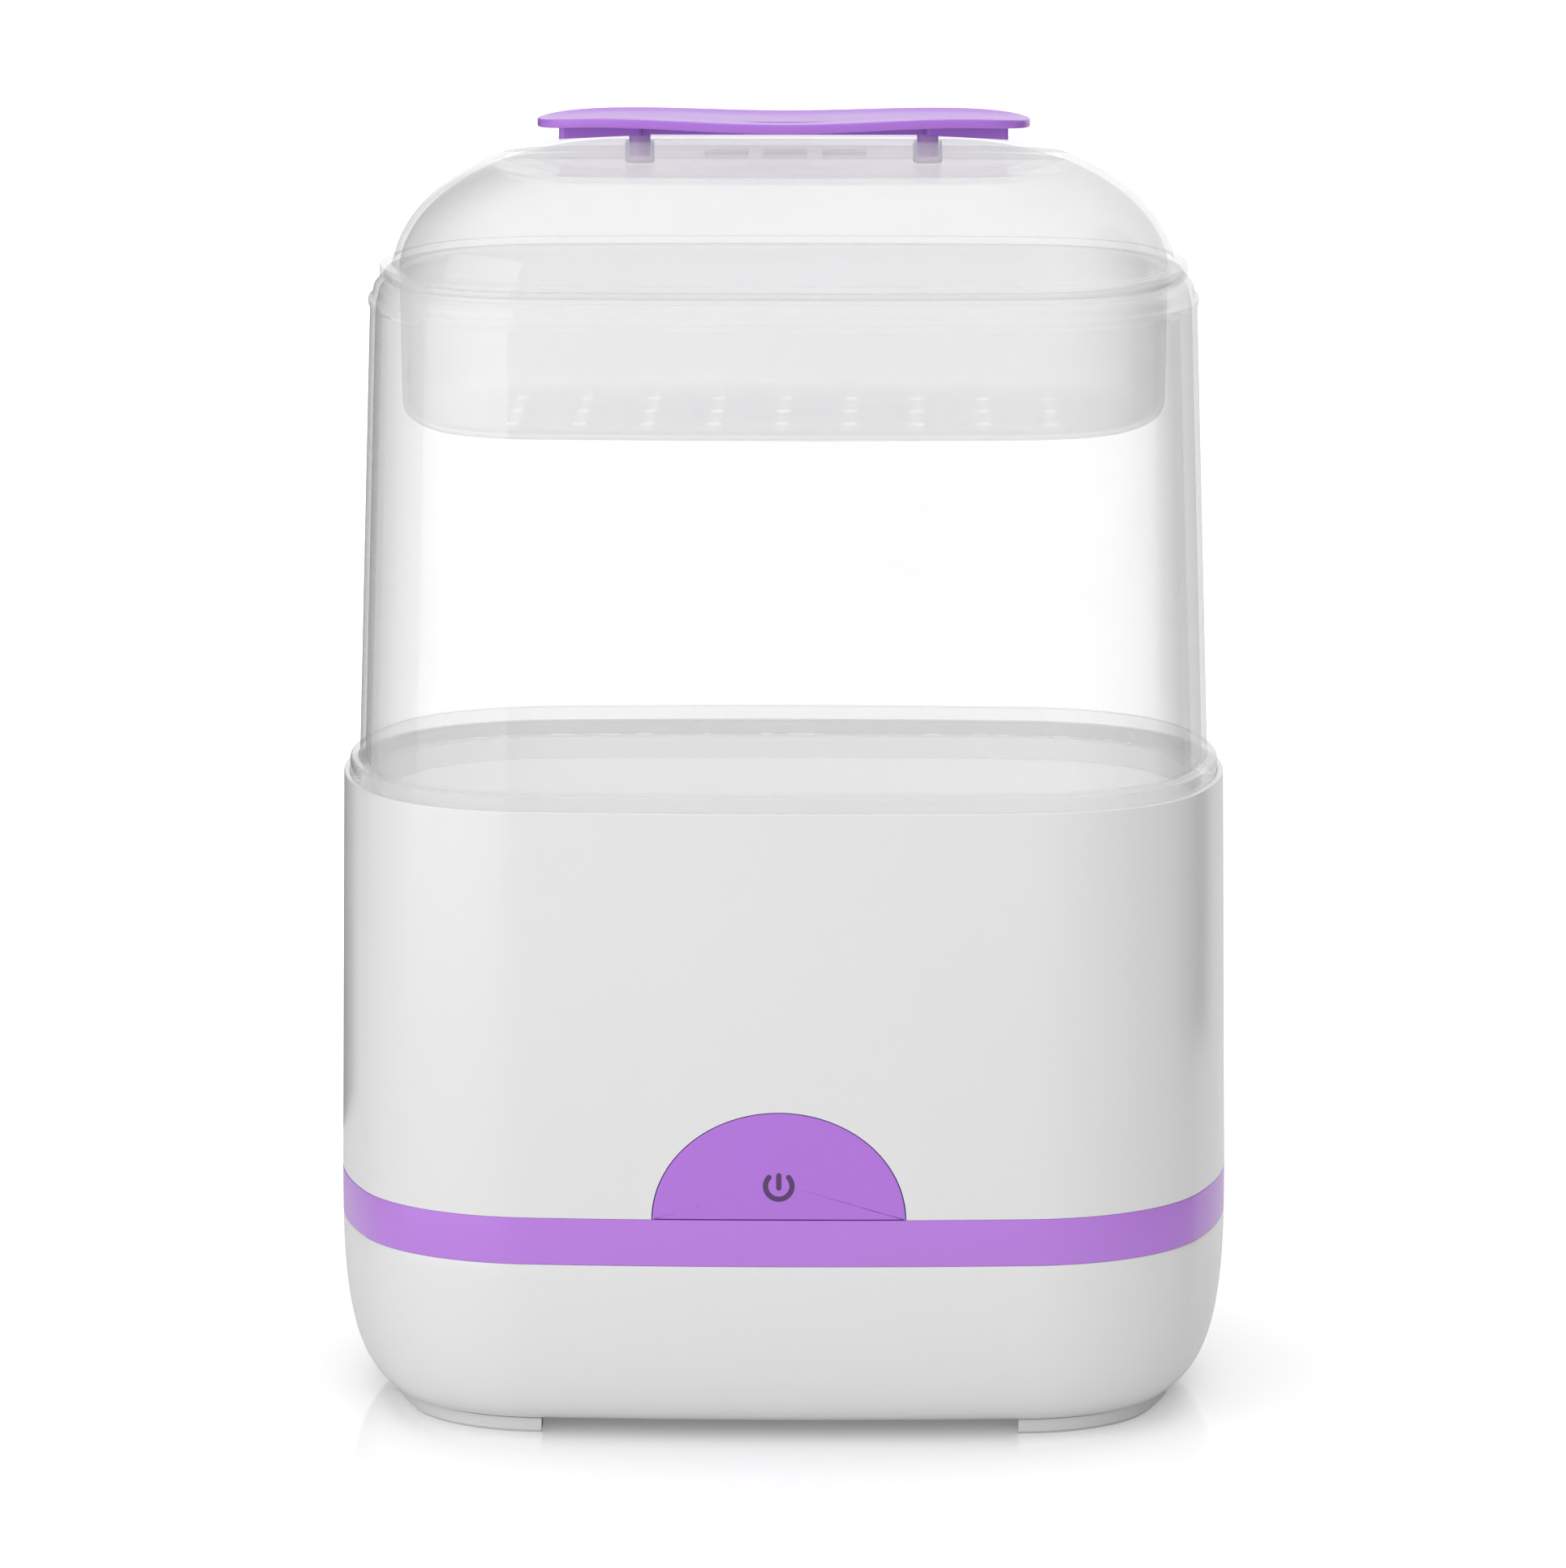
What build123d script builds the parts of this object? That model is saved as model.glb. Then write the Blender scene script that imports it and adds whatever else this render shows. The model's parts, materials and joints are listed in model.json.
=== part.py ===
from build123d import *
import math
import os

# Electric steam steriliser for baby bottles. Millimetres, +Z up, front towards -Y.
# The origin is the middle of the four feet's resting plane.
#
# Every casing follows one rounded oval. A place on a casing is given as (inset, height): how far it
# lies inside the oval of the trim band, and how high it is above the table.

# ---- Driving dimensions -------------------------------------------------------------------------

# The plan oval: four shallow arcs joined by four corner arcs
HALF_WIDTH = 120.6
HALF_DEPTH = 85.0
FRONT_RADIUS = 900.0
SIDE_RADIUS = 138.0
CORNER_RADIUS = 52.0
CORE_INSET = 34.0          # solid middles are cut off here, inside the corner arcs' reach

# Heights of the stack
FOOT_HEIGHT = 4.0
BAND_BOTTOM = 49.0
BAND_TOP = 61.5
SHELL_TOP = 170.0
SLEEVE_TOP = 304.0
LID_FLANGE_TOP = 307.5
DOME_TOP = 341.6

# Casing walls
WALL = 2.5
CLEAR_WALL = 1.5
LID_WALL = 1.8
SHELL_DRAFT = 1.2          # how far the upper shell leans in from the band to its rim
SHELL_CHAMFER = 0.4
SHELL_INNER = (66.0, (3.0, 70.0))     # top of its tongue, and where its inside meets the wall
BAND_THICKNESS = 2.0
TONGUE = (2.2, 4.2)        # insets of the joining tongues behind the band
GAP = 0.1                  # assembly gap between nested mouldings
PAST = 1.0                 # how far a cutting or overlapping body runs past the face it meets

# Bottom pan: a quarter of a squarish ellipse in section
BOWL_CENTRE = (17.0, 56.0)
BOWL_RADII = (17.0, 52.0)
BOWL_POWER = 2.7           # 2 would be a true ellipse
BOWL_STEPS = 8
PAN_TONGUE_TOP = 55.0
PAN_TONGUE_FOOT = 46.0
PAN_TONGUE_ROOT = (2.0, 40.0)
COOLING_SLOT = (24.0, 2.4)
COOLING_ROWS = (-22.0, 22.0)
COOLING_STEPS = range(-3, 4)
COOLING_PITCH = 9.0

# Feet
FOOT_INSETS = (14.0, 24.0)
FOOT_CHAMFER = 0.8
FOOT_REACH = (63.7, 22.0)  # each foot runs from this x on the front round to this y on the side
PEG_RADIUS = 2.0
PEG_FIT = 0.05
PEG_TURNS = (29.0, 77.0)   # where the pegs sit on the corner arc, degrees from the side

# Case screws, driven up from below
CASE_SCREW_PLACES = [(x, y) for x in (-80.0, 80.0) for y in (-40.0, 40.0)]
CASE_SCREW_RADIUS = 1.95
CASE_SCREW_HOLE = 2.0
CASE_SCREW_LENGTH = 20.0
CASE_HEAD_RADIUS = 3.75
CASE_HEAD_HEIGHT = 3.0
CASE_DRIVE = (2.6, 0.5, 1.4)   # half length, half width and depth of the cross
CASE_BOSS_RADIUS = 6.0
CASE_BOSS_TOP = 39.8
CASE_BOSS_FOOT = 5.0
CASE_WELL_RADIUS = 4.5
CASE_CLEAR_RADIUS = 2.2
CASE_SEAT = 30.0
TUB_BOSS_RADIUS = 4.5
TUB_BOSS_GAP = 0.2

# Power button
BUTTON_HALF_WIDTH = 33.7
BUTTON_HEIGHT = 29.0
BUTTON_GAP = 0.25
BUTTON_CAP = 3.2
BUTTON_FLANGE = (4.5, 5.9)
BUTTON_FLANGE_GROWTH = 1.6
BUTTON_SKIRT = 2.0
BUTTON_LAP = 0.5           # how far the skirt and the stem run into the cap
BUTTON_STEM_RADIUS = 2.5
BUTTON_STEM_GAP = 0.05
BUTTON_REACH = (-95.0, -70.0)
SYMBOL_HEIGHT = 70.8
SYMBOL_RADIUS = 3.5
SYMBOL_STROKE = 1.4
SYMBOL_DEPTH = 0.6
SYMBOL_OPENING = 48.0      # half the ring's gap, in degrees
SYMBOL_BAR_LENGTH = 4.7
SYMBOL_BAR_CENTRE = 1.15

# Control board and what it carries
BOARD_FRONT = -71.6
BOARD_REAR = -70.0
BOARD_HALF_WIDTH = 30.0
BOARD_BOTTOM = 30.0
BOARD_TOP = 90.0
BOARD_SCREW_X = 24.0
BOARD_SCREW_Z = 84.0
BOARD_HOLE = 1.6
BOARD_HEAD = (2.8, 1.8)    # radius and height of a board screw's head
BOARD_SCREW_TIP = -65.6
SMALL_SCREW_RADIUS = 1.45
SMALL_SCREW_HOLE = 1.5
BOARD_LUG_RADIUS = 3.5
BOARD_LUG_BACK = -63.8
BOARD_LUG_DEPTH = -65.2
GUIDE_X = 26.0
GUIDE_HALF_WIDTH = 3.0
GUIDE_CHEEK = 2.2
GUIDE_GRIP = 4.0
SWITCH_HEIGHT = 81.0
SWITCH_HALF = 5.0
SWITCH_FRONT = -76.0
SWITCH_BORE_DEPTH = 3.0
PLUNGER_RADIUS = 2.5
PLUNGER_TIP = -78.3
PLUNGER_END = -74.3
LAMP_RADII = (1.9, 1.5)
LAMP_DEPTHS = (1.0, 3.0)
RELAY = ((-29.0, -10.0), (BOARD_REAR, -54.6), (34.0, 50.0))
RELAY_EDGE = 0.5
TERMINAL_BLOCK = ((4.0, 28.0), (BOARD_REAR, -60.0), (34.0, 44.0))
TERMINAL_WELLS = (8.0, 16.0, 24.0)
TERMINAL_WELL_RADIUS = 1.6
TERMINAL_WELL_Y = -65.0
TERMINAL_WELL_FLOOR = 38.0

# Steam tub
TUB_RIM = (164.7, 166.2)
TUB_STEP = (93.0, 95.0)
TUB_FLOOR = (64.5, 66.0)
TUB_WALL = 1.5
TUB_INSETS = (4.9, 7.0, 20.0, 22.0)   # outside at the rim, over the step, at the well's rim, at its floor
HEATER_OPENING = 46.0

# Heating plate and element
PLATE_RADIUS = 52.0
PLATE_HEIGHTS = (67.2, 68.7)
PLATE_DISH = (0.8, 40.0, 44.0)        # depth, and radii of its floor and rim
SPIGOT_RADIUS = 45.5
SPIGOT_WALL = 1.5
SPIGOT_BOTTOM = 61.0
PLATE_UNDERSIDE = 66.6                # inside the spigot
GASKET_RADII = (46.2, 51.6, 52.4)
CLAMP_RADII = (36.0, 51.0, 54.0)
CLAMP_THICKNESS = 1.5
CLAMP_HOLE = 1.7
ELEMENT_RADIUS = 28.0
ELEMENT_TUBE = 3.5
ELEMENT_GAP_TURN = 60.0
ELEMENT_PIN_RADIUS = 1.6
ELEMENT_PIN_TIP = 52.0
HEATER_SCREW_CIRCLE = 40.0
HEATER_SCREW_TURNS = (90.0, 210.0, 330.0)
HEATER_SCREW_TOP = 66.0
HEATER_BORE_TOP = 66.4
HEATER_SCREW_HEAD = (2.8, 1.8)
HEATER_PAD_RADIUS = 3.6
THERMOSTAT_RADII = (8.0, 9.5)
THERMOSTAT_HEIGHTS = (7.0, 1.2)
THERMOSTAT_TABS = (4.5, 0.4, 3.0)     # offset, half thickness and half width
THERMOSTAT_TAB_SPAN = (14.0, 6.5)
FUSE_X = -17.0
FUSE_RADIUS = 2.0
FUSE_HALF_LENGTH = 6.0
FUSE_STRAP = (3.0, 1.5, 2.2)          # half sizes

# Mains inlet, in a pocket at the back of the pan
INLET_HEIGHT = 31.0
INLET_FACE = 77.5
INLET_POCKET = (50.0, 24.0)
INLET_POCKET_WALL = 2.0
INLET_BODY = (27.2, 19.6)
INLET_FIT = 0.4
INLET_BACK = 62.0
INLET_LAP = 0.5            # how far the body runs into the flange
INLET_FLANGE = (23.0, 11.0, 2.0)      # half width, half height, thickness
INLET_FLANGE_CORNER = 3.0
INLET_CAVITY = (12.0, 8.0, 3.0)       # half width, half height, thickness of its back wall
INLET_SCREW_X = 20.0
INLET_SCREW_HEAD = (2.6, 1.4)
INLET_SCREW_REACH = 4.0
PIN_PLACES = [(0.0, 33.0), (-7.0, 29.0), (7.0, 29.0)]   # earth, live and neutral, as x and height
PIN_HALF = (1.0, 2.0)
PIN_TAIL = 4.0

# Wires: the points each one runs through
FORWARD, UP, DOWN = (0, -1, 0), (0, 0, 1), (0, 0, -1)
MAINS_WIRE_RADIUS = 1.1
HEATER_WIRE_RADIUS = 1.0
LIVE_RUN = [(-7, 57.9, 29), (-14, 40, 16), (-16, 0, 14), (-2, -40, 24), (8, -59.9, 41)]
NEUTRAL_RUN = [(7, 57.9, 29), (14, 40, 16), (22, 0, 14), (24, -40, 24), (24, -59.9, 41)]
EARTH_RUN = [(0, 57.9, 33), (3, 44, 34), (22.5, 39, 59.4)]
LEFT_HEATER_RUN = [(-18, -38, 43), (-18, -54.5, 42)]
RIGHT_HEATER_RUN = [(16, -42, 42), (16, -59.9, 40)]

# Bottle rack
RACK_HEIGHTS = (95.0, 97.0)
RACK_INSET = 9.5
RACK_POST_RADII = (6.0, 3.5)
RACK_POST_TOP = 142.0
RACK_SLOT = (16.0, 4.0)
RACK_SLOT_CIRCLE = 19.0
RACK_SLOTS = 6
RACK_PLACES = [(x, y) for x in (-66.0, 0.0, 66.0) for y in (-32.0, 32.0)]

# Clear sleeve
SLEEVE_FOOT = (166.2, 174.0)
SLEEVE_FOOT_INSET = 2.9
SLEEVE_WALL_FOOT = 5.55    # inset of the wall's outside where it leaves the foot flange
SLEEVE_WALL_HEAD = 9.15    # and under the bead
SLEEVE_SKIRT = (160.0, 170.0)
SLEEVE_CHAMFER = 0.5
SLEEVE_BEAD = (296.0, 299.0)
SLEEVE_BEAD_INSET = 8.7
SLEEVE_SHOULDER = [(9.8, 299.0), (10.6, 302.2), (12.4, 304.0)]
SLEEVE_SHOULDER_INSIDE = [(13.6, 302.5), (12.0, 301.3), (11.05, 298.6)]
SLEEVE_OPENING = 15.5

# Parts tray
TRAY_RIM_INSET = 13.4
TRAY_WALL_INSET = 17.2
TRAY_RIM_THICKNESS = 1.4
TRAY_LEAN = 0.6            # how much further in the wall is at its foot
TRAY_BOTTOM = 266.0
TRAY_FILLET = 5.0
TRAY_SLOT = (20.0, 4.0)
TRAY_ROWS = (-30.0, 0.0, 30.0)
TRAY_STEPS = range(-4, 5)
TRAY_PITCH = 18.0

# Lid
LID_FLANGE_INSET = 11.8
LID_LIP = 1.2
LID_LIP_GAP = 0.2
LID_SEAT = 305.5           # underside of the flange, over the tray's rim
LID_CHAMFER = 0.6
DOME_INSET = 15.1
DOME_CENTRE = 304.0
DOME_REACH = 60.0          # how far the dome's curve comes in from the wall
DOME_SECTIONS = 9
RIDGE_HALF = 10.0          # the ridge between the two finger scoops
SCOOP_DROP = (5.7, 7.5)    # depth under the dome's top beside the ridge, and at the front
SCOOP_FRONT = 56.0
SCOOP_FILLET = 2.0
VENT_PLACES = [(-16.0, 30.0), (0.0, 30.0), (16.0, 30.0)]
VENT_SLOT = (12.0, 2.6)
POST_X = 38.7
POST_RADIUS = 2.85
POST_HOLE = 2.9
POST_DEPTH = 6.0
POST_GAP = 0.2
LID_BOSS_RADIUS = 3.9
LID_BOSS_BOTTOM = 334.0

# Handle
HANDLE_HALF_WIDTH = 66.2
HANDLE_HALF_DEPTH = 25.0
HANDLE_END_HALF_DEPTH = 17.0
HANDLE_SHOULDER = 59.0
HANDLE_CORNER = 6.0
HANDLE_CREST = 46.0        # x of the two crests of the plate's wave
HANDLE_TOP = (346.1, 347.2, 346.0)     # heights at the middle, the crests and the ends
HANDLE_BOTTOM = (343.5, 344.8, 343.7)
HANDLE_DISH = (60.0, 21.0, 2.0)        # half sizes of the ellipsoid that hollows the top
HANDLE_DISH_FLOOR = 345.4
STEM_HEIGHTS = (340.0, 344.9)
STEM_CORNER = 2.0
STEM_GAP = 0.05
POST_TOP = 344.0
STEM_HALF_WIDTH = 60.3
STEM_LUG = 23.0
STEM_HALF_DEPTH = 6.0
WEB_HALF_DEPTH = 3.0


# ---- Helpers ------------------------------------------------------------------------------------


def corner_centre():
    """Centre of the corner arc in the +X +Y quarter, where it is tangent to both shallow arcs."""
    front_centre = FRONT_RADIUS - HALF_DEPTH
    side_centre = SIDE_RADIUS - HALF_WIDTH
    to_front = FRONT_RADIUS - CORNER_RADIUS
    to_side = SIDE_RADIUS - CORNER_RADIUS
    apart = math.hypot(front_centre, side_centre)
    along = (to_front**2 - to_side**2 + apart**2) / (2 * apart)
    across = math.sqrt(to_front**2 - along**2)
    x = (-along * side_centre + across * front_centre) / apart
    y = -front_centre + (along * front_centre + across * side_centre) / apart
    return x, y


def oval(inset=0.0, height=0.0, scale=1.0):
    """The plan oval as one closed wire, starting at the middle of the back."""
    cx, cy = corner_centre()
    deep = FRONT_RADIUS - HALF_DEPTH
    side = SIDE_RADIUS - HALF_WIDTH
    high = math.degrees(math.atan2(cy + deep, cx))
    low = math.degrees(math.atan2(cy, cx + side))
    arcs = [
        (0, -deep, FRONT_RADIUS, 90, 180 - high),
        (-cx, cy, CORNER_RADIUS, 180 - high, 180 - low),
        (side, 0, SIDE_RADIUS, 180 - low, 180 + low),
        (-cx, -cy, CORNER_RADIUS, 180 + low, 180 + high),
        (0, deep, FRONT_RADIUS, 180 + high, 360 - high),
        (cx, -cy, CORNER_RADIUS, 360 - high, 360 - low),
        (-side, 0, SIDE_RADIUS, -low, low),
        (cx, cy, CORNER_RADIUS, low, high),
        (0, -deep, FRONT_RADIUS, high, 90),
    ]
    edges = []
    for x, y, radius, start, end in arcs:
        centre = (x * scale, y * scale, height)
        edges.append(CenterArc(centre, (radius - inset) * scale, start, end - start))
    return Wire(edges)


def oval_face(inset, height=0.0, scale=1.0):
    return make_face(oval(inset, height, scale).edges())


def plate(inset, bottom, top):
    """A flat oval plate."""
    return extrude(oval_face(inset, bottom), top - bottom)


def ring(section):
    """A section drawn in (inset, height), swept once round the oval."""
    at_back = Plane(origin=(0, HALF_DEPTH, 0), x_dir=(0, -1, 0), z_dir=(-1, 0, 0))
    return sweep(at_back * section, path=oval())


def outline(*points):
    """A closed face from straight lines between points."""
    return make_face(Polyline(*points, close=True))


def box(x, y, z):
    """A box from (low, high) pairs."""
    size = [high - low for low, high in (x, y, z)]
    middle = [(low + high) / 2 for low, high in (x, y, z)]
    return Pos(*middle) * Box(*size)


def rod(radius, x, y, bottom, top):
    """An upright cylinder."""
    return Pos(x, y, (bottom + top) / 2) * Cylinder(radius, top - bottom)


def rod_y(radius, x, z, front, back):
    """A cylinder that lies along Y."""
    return Pos(x, (front + back) / 2, z) * Rot(90, 0, 0) * Cylinder(radius, back - front)


def front_plane(y=0.0, z=0.0):
    """Sketching plane seen from the front: x to the right, y up."""
    return Plane(origin=(0, y, z), x_dir=(1, 0, 0), z_dir=(0, -1, 0))


def on_circle(radius, degrees):
    turn = math.radians(degrees)
    return radius * math.cos(turn), radius * math.sin(turn)


def shell_inset(height):
    """Inset of the upper shell's outside at a height."""
    return SHELL_DRAFT * (height - BAND_TOP) / (SHELL_TOP - BAND_TOP)


# ---- Lower casing -------------------------------------------------------------------------------


def bowl(thickness, floor, top):
    """The filled shape of the pan, inside a wall of the given thickness."""
    inset, middle = BOWL_CENTRE
    across = BOWL_RADII[0] - thickness
    down = BOWL_RADII[1] - thickness
    start = math.asin(((middle - top) / down) ** (BOWL_POWER / 2))
    points = []
    for step in range(BOWL_STEPS + 1):
        turn = start + (math.pi / 2 - start) * step / BOWL_STEPS
        x = inset - across * abs(math.cos(turn)) ** (2 / BOWL_POWER)
        points.append((x, middle - down * math.sin(turn) ** (2 / BOWL_POWER)))
    curve = Spline(*points, tangents=((0, -1), (1, 0)))
    rest = Polyline(curve @ 1, (CORE_INSET, floor), (CORE_INSET, top), curve @ 0)
    return ring(make_face([curve, rest.edges()])) + plate(CORE_INSET, floor, top)


def pan_tongue():
    outer, inner = TONGUE
    top = PAN_TONGUE_TOP
    front = [(outer, BAND_BOTTOM), (outer, top), (inner, top)]
    return ring(outline(*front, (inner, PAN_TONGUE_FOOT), PAN_TONGUE_ROOT))


def pan_bosses():
    """Boss tubes that the case screws pass through."""
    return [rod(CASE_BOSS_RADIUS, x, y, CASE_BOSS_FOOT, CASE_BOSS_TOP) for x, y in CASE_SCREW_PLACES]


def pan_boss_bores():
    bores = []
    for x, y in CASE_SCREW_PLACES:
        bores.append(rod(CASE_WELL_RADIUS, x, y, FOOT_HEIGHT - PAST, CASE_SEAT))
        bores.append(rod(CASE_CLEAR_RADIUS, x, y, CASE_SEAT, CASE_BOSS_TOP + PAST))
    return bores


def board_guides():
    """Two slotted posts that hold the lower edge of the control board."""
    guides = []
    top = BOARD_BOTTOM + GUIDE_GRIP
    for x in (-GUIDE_X, GUIDE_X):
        left, right = x - GUIDE_HALF_WIDTH, x + GUIDE_HALF_WIDTH
        cheeks = (BOARD_FRONT - GUIDE_CHEEK, BOARD_REAR + GUIDE_CHEEK)
        faces = (BOARD_FRONT - GAP, BOARD_REAR + GAP)
        post = box((left, right), cheeks, (CASE_BOSS_FOOT, top))
        slot = box((left - PAST, right + PAST), faces, (BOARD_BOTTOM, top + PAST))
        guides.append(post - slot)
    return guides


def inlet_pocket(wide, tall, front):
    """The space behind the mains inlet's face, open to the back."""
    z = INLET_HEIGHT
    return box((-wide / 2, wide / 2), (front, HALF_DEPTH + PAST), (z - tall / 2, z + tall / 2))


def peg_places():
    """Peg centres on the middle line of the feet."""
    cx, cy = corner_centre()
    radius = CORNER_RADIUS - sum(FOOT_INSETS) / 2
    places = []
    for turn in PEG_TURNS:
        dx, dy = on_circle(radius, turn)
        places += [(sx * (cx + dx), sy * (cy + dy)) for sx in (-1, 1) for sy in (-1, 1)]
    return places


def cooling_slots():
    """Slots in the floor that let the electronics breathe."""
    slots = []
    for row in COOLING_ROWS:
        for step in COOLING_STEPS:
            slot = extrude(SlotOverall(*COOLING_SLOT, rotation=90), WALL + 2 * PAST)
            slots.append(Pos(step * COOLING_PITCH, row, FOOT_HEIGHT - PAST) * slot)
    return slots


def make_bottom_pan():
    blank = bowl(0.0, FOOT_HEIGHT, BAND_BOTTOM)
    wide, tall = INLET_POCKET
    rim = 2 * INLET_POCKET_WALL
    wall = blank - bowl(WALL, FOOT_HEIGHT + WALL, BAND_BOTTOM)
    inlet_frame = inlet_pocket(wide + rim, tall + rim, INLET_FACE - WALL) & blank
    inside = Part() + pan_bosses() + board_guides()
    pan = wall + pan_tongue() + inlet_frame + (inside & blank)
    pan -= inlet_pocket(wide, tall, INLET_FACE)
    pan -= inlet_pocket(INLET_BODY[0] + INLET_FIT, INLET_BODY[1] + INLET_FIT, INLET_FACE - 2 * WALL)
    for x in (-INLET_SCREW_X, INLET_SCREW_X):
        pan -= rod_y(SMALL_SCREW_HOLE, x, INLET_HEIGHT, INLET_FACE - 2 * WALL, INLET_FACE + PAST)
    low, high = FOOT_HEIGHT - PAST, FOOT_HEIGHT + WALL + PAST
    peg_holes = [rod(PEG_RADIUS + PEG_FIT, x, y, low, high) for x, y in peg_places()]
    return pan - (pan_boss_bores() + cooling_slots() + peg_holes)


def make_foot(side, end):
    """One corner foot; side and end are -1 or 1."""
    outer, inner = FOOT_INSETS
    toe = [(outer, FOOT_CHAMFER), (outer + FOOT_CHAMFER, 0)]
    section = outline(*toe, (inner, 0), (inner, FOOT_HEIGHT), (outer, FOOT_HEIGHT))
    reach_x, reach_y = FOOT_REACH
    x = sorted((side * reach_x, side * HALF_WIDTH))
    y = sorted((end * reach_y, end * HALF_DEPTH))
    foot = ring(section) & box(x, y, (-PAST, FOOT_HEIGHT + PAST))
    for px, py in peg_places():
        if px * side > 0 and py * end > 0:
            foot += rod(PEG_RADIUS, px, py, FOOT_HEIGHT - PAST, FOOT_HEIGHT + WALL)
    return foot


def make_trim_band():
    inner = BAND_THICKNESS
    return ring(outline((0, BAND_BOTTOM), (0, BAND_TOP), (inner, BAND_TOP), (inner, BAND_BOTTOM)))


def make_case_screws():
    length, width, depth = CASE_DRIVE
    low = CASE_SEAT - CASE_HEAD_HEIGHT
    drive = (low - PAST, low + depth)
    screws = []
    for x, y in CASE_SCREW_PLACES:
        head = rod(CASE_HEAD_RADIUS, x, y, low, CASE_SEAT)
        slot = box((x - width, x + width), (y - length, y + length), drive)
        cross = box((x - length, x + length), (y - width, y + width), drive)
        shank = rod(CASE_SCREW_RADIUS, x, y, CASE_SEAT, CASE_SEAT + CASE_SCREW_LENGTH)
        screws.append(head + shank - slot - cross)
    return screws


# ---- Upper shell and button ---------------------------------------------------------------------


def button_prism(growth):
    """The half-moon of the button, grown all round, along Y. Its flat side stays on the band."""
    front, back = BUTTON_REACH
    wide = BUTTON_HALF_WIDTH + growth
    tall = BUTTON_HEIGHT + growth
    moon = Ellipse(wide, tall) & Rectangle(2 * wide, tall, align=(Align.CENTER, Align.MIN))
    return extrude(front_plane(back, BAND_TOP) * moon, back - front)


def shell_skin(depth, start=0.0, bottom=BAND_TOP + BUTTON_GAP):
    """A ring that follows the shell's outside from one depth to another, as tall as the button."""
    top = BAND_TOP + BUTTON_HEIGHT + BUTTON_FLANGE_GROWTH + PAST
    low, high = shell_inset(bottom), shell_inset(top)
    points = [(low + start, bottom), (high + start, top), (high + depth, top), (low + depth, bottom)]
    return ring(outline(*points))


def make_upper_shell():
    ledge_inset = SLEEVE_FOOT_INSET - GAP
    outer, inner = TONGUE
    inner_foot, inner_bend = SHELL_INNER
    tip = PAN_TONGUE_TOP + 2 * GAP
    points = [
        (0, BAND_TOP),
        (SHELL_DRAFT, SHELL_TOP - SHELL_CHAMFER),
        (SHELL_DRAFT + SHELL_CHAMFER, SHELL_TOP),
        (ledge_inset, SHELL_TOP),
        (ledge_inset, TUB_RIM[0]),
        (SHELL_DRAFT + WALL, TUB_RIM[0]),
        inner_bend,
        (inner, inner_foot),
        (inner, tip),
        (outer, tip),
        (outer, BAND_TOP),
    ]
    return ring(outline(*points)) - button_prism(0.0)


def symbol_sketch():
    """Generic power mark: an open ring and a bar."""
    arc = CenterArc((0, 0), SYMBOL_RADIUS, 90 + SYMBOL_OPENING, 360 - 2 * SYMBOL_OPENING)
    bar = Pos(0, SYMBOL_BAR_CENTRE) * SlotOverall(SYMBOL_BAR_LENGTH, SYMBOL_STROKE, rotation=90)
    return SlotArc(arc, SYMBOL_STROKE) + bar


def make_power_symbol():
    prism = extrude(front_plane(BUTTON_CAP - HALF_DEPTH, SYMBOL_HEIGHT) * symbol_sketch(), 2 * BUTTON_CAP)
    return prism & shell_skin(SYMBOL_DEPTH)


def make_power_button(symbol):
    trimmed = button_prism(-BUTTON_GAP)
    cap = trimmed & shell_skin(BUTTON_CAP)
    hollow = button_prism(-BUTTON_GAP - BUTTON_SKIRT)
    low, high = BUTTON_FLANGE
    skirt = (trimmed - hollow) & shell_skin(high, BUTTON_CAP - BUTTON_LAP)
    flange = (button_prism(BUTTON_FLANGE_GROWTH) - hollow) & shell_skin(high, low)
    stem_front = BUTTON_CAP - BUTTON_LAP - HALF_DEPTH
    stem = rod_y(BUTTON_STEM_RADIUS, 0, SWITCH_HEIGHT, stem_front, PLUNGER_TIP - BUTTON_STEM_GAP)
    return cap + skirt + flange + stem - symbol


# ---- Control board ------------------------------------------------------------------------------


def make_control_board():
    board = box((-BOARD_HALF_WIDTH, BOARD_HALF_WIDTH), (BOARD_FRONT, BOARD_REAR), (BOARD_BOTTOM, BOARD_TOP))
    for x in (-BOARD_SCREW_X, BOARD_SCREW_X):
        board -= rod_y(BOARD_HOLE, x, BOARD_SCREW_Z, BOARD_FRONT - PAST, BOARD_REAR + PAST)
    return board


def make_board_screws():
    radius, height = BOARD_HEAD
    screws = []
    for x in (-BOARD_SCREW_X, BOARD_SCREW_X):
        head = rod_y(radius, x, BOARD_SCREW_Z, BOARD_FRONT - height, BOARD_FRONT)
        screws.append(head + rod_y(SMALL_SCREW_RADIUS, x, BOARD_SCREW_Z, BOARD_FRONT, BOARD_SCREW_TIP))
    return screws


def make_push_switch():
    half, z = SWITCH_HALF, SWITCH_HEIGHT
    body = box((-half, half), (SWITCH_FRONT, BOARD_FRONT), (z - half, z + half))
    return body - rod_y(PLUNGER_RADIUS + GAP, 0, z, SWITCH_FRONT - PAST, SWITCH_FRONT + SWITCH_BORE_DEPTH)


def make_switch_plunger():
    return rod_y(PLUNGER_RADIUS, 0, SWITCH_HEIGHT, PLUNGER_TIP, PLUNGER_END)


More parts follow.
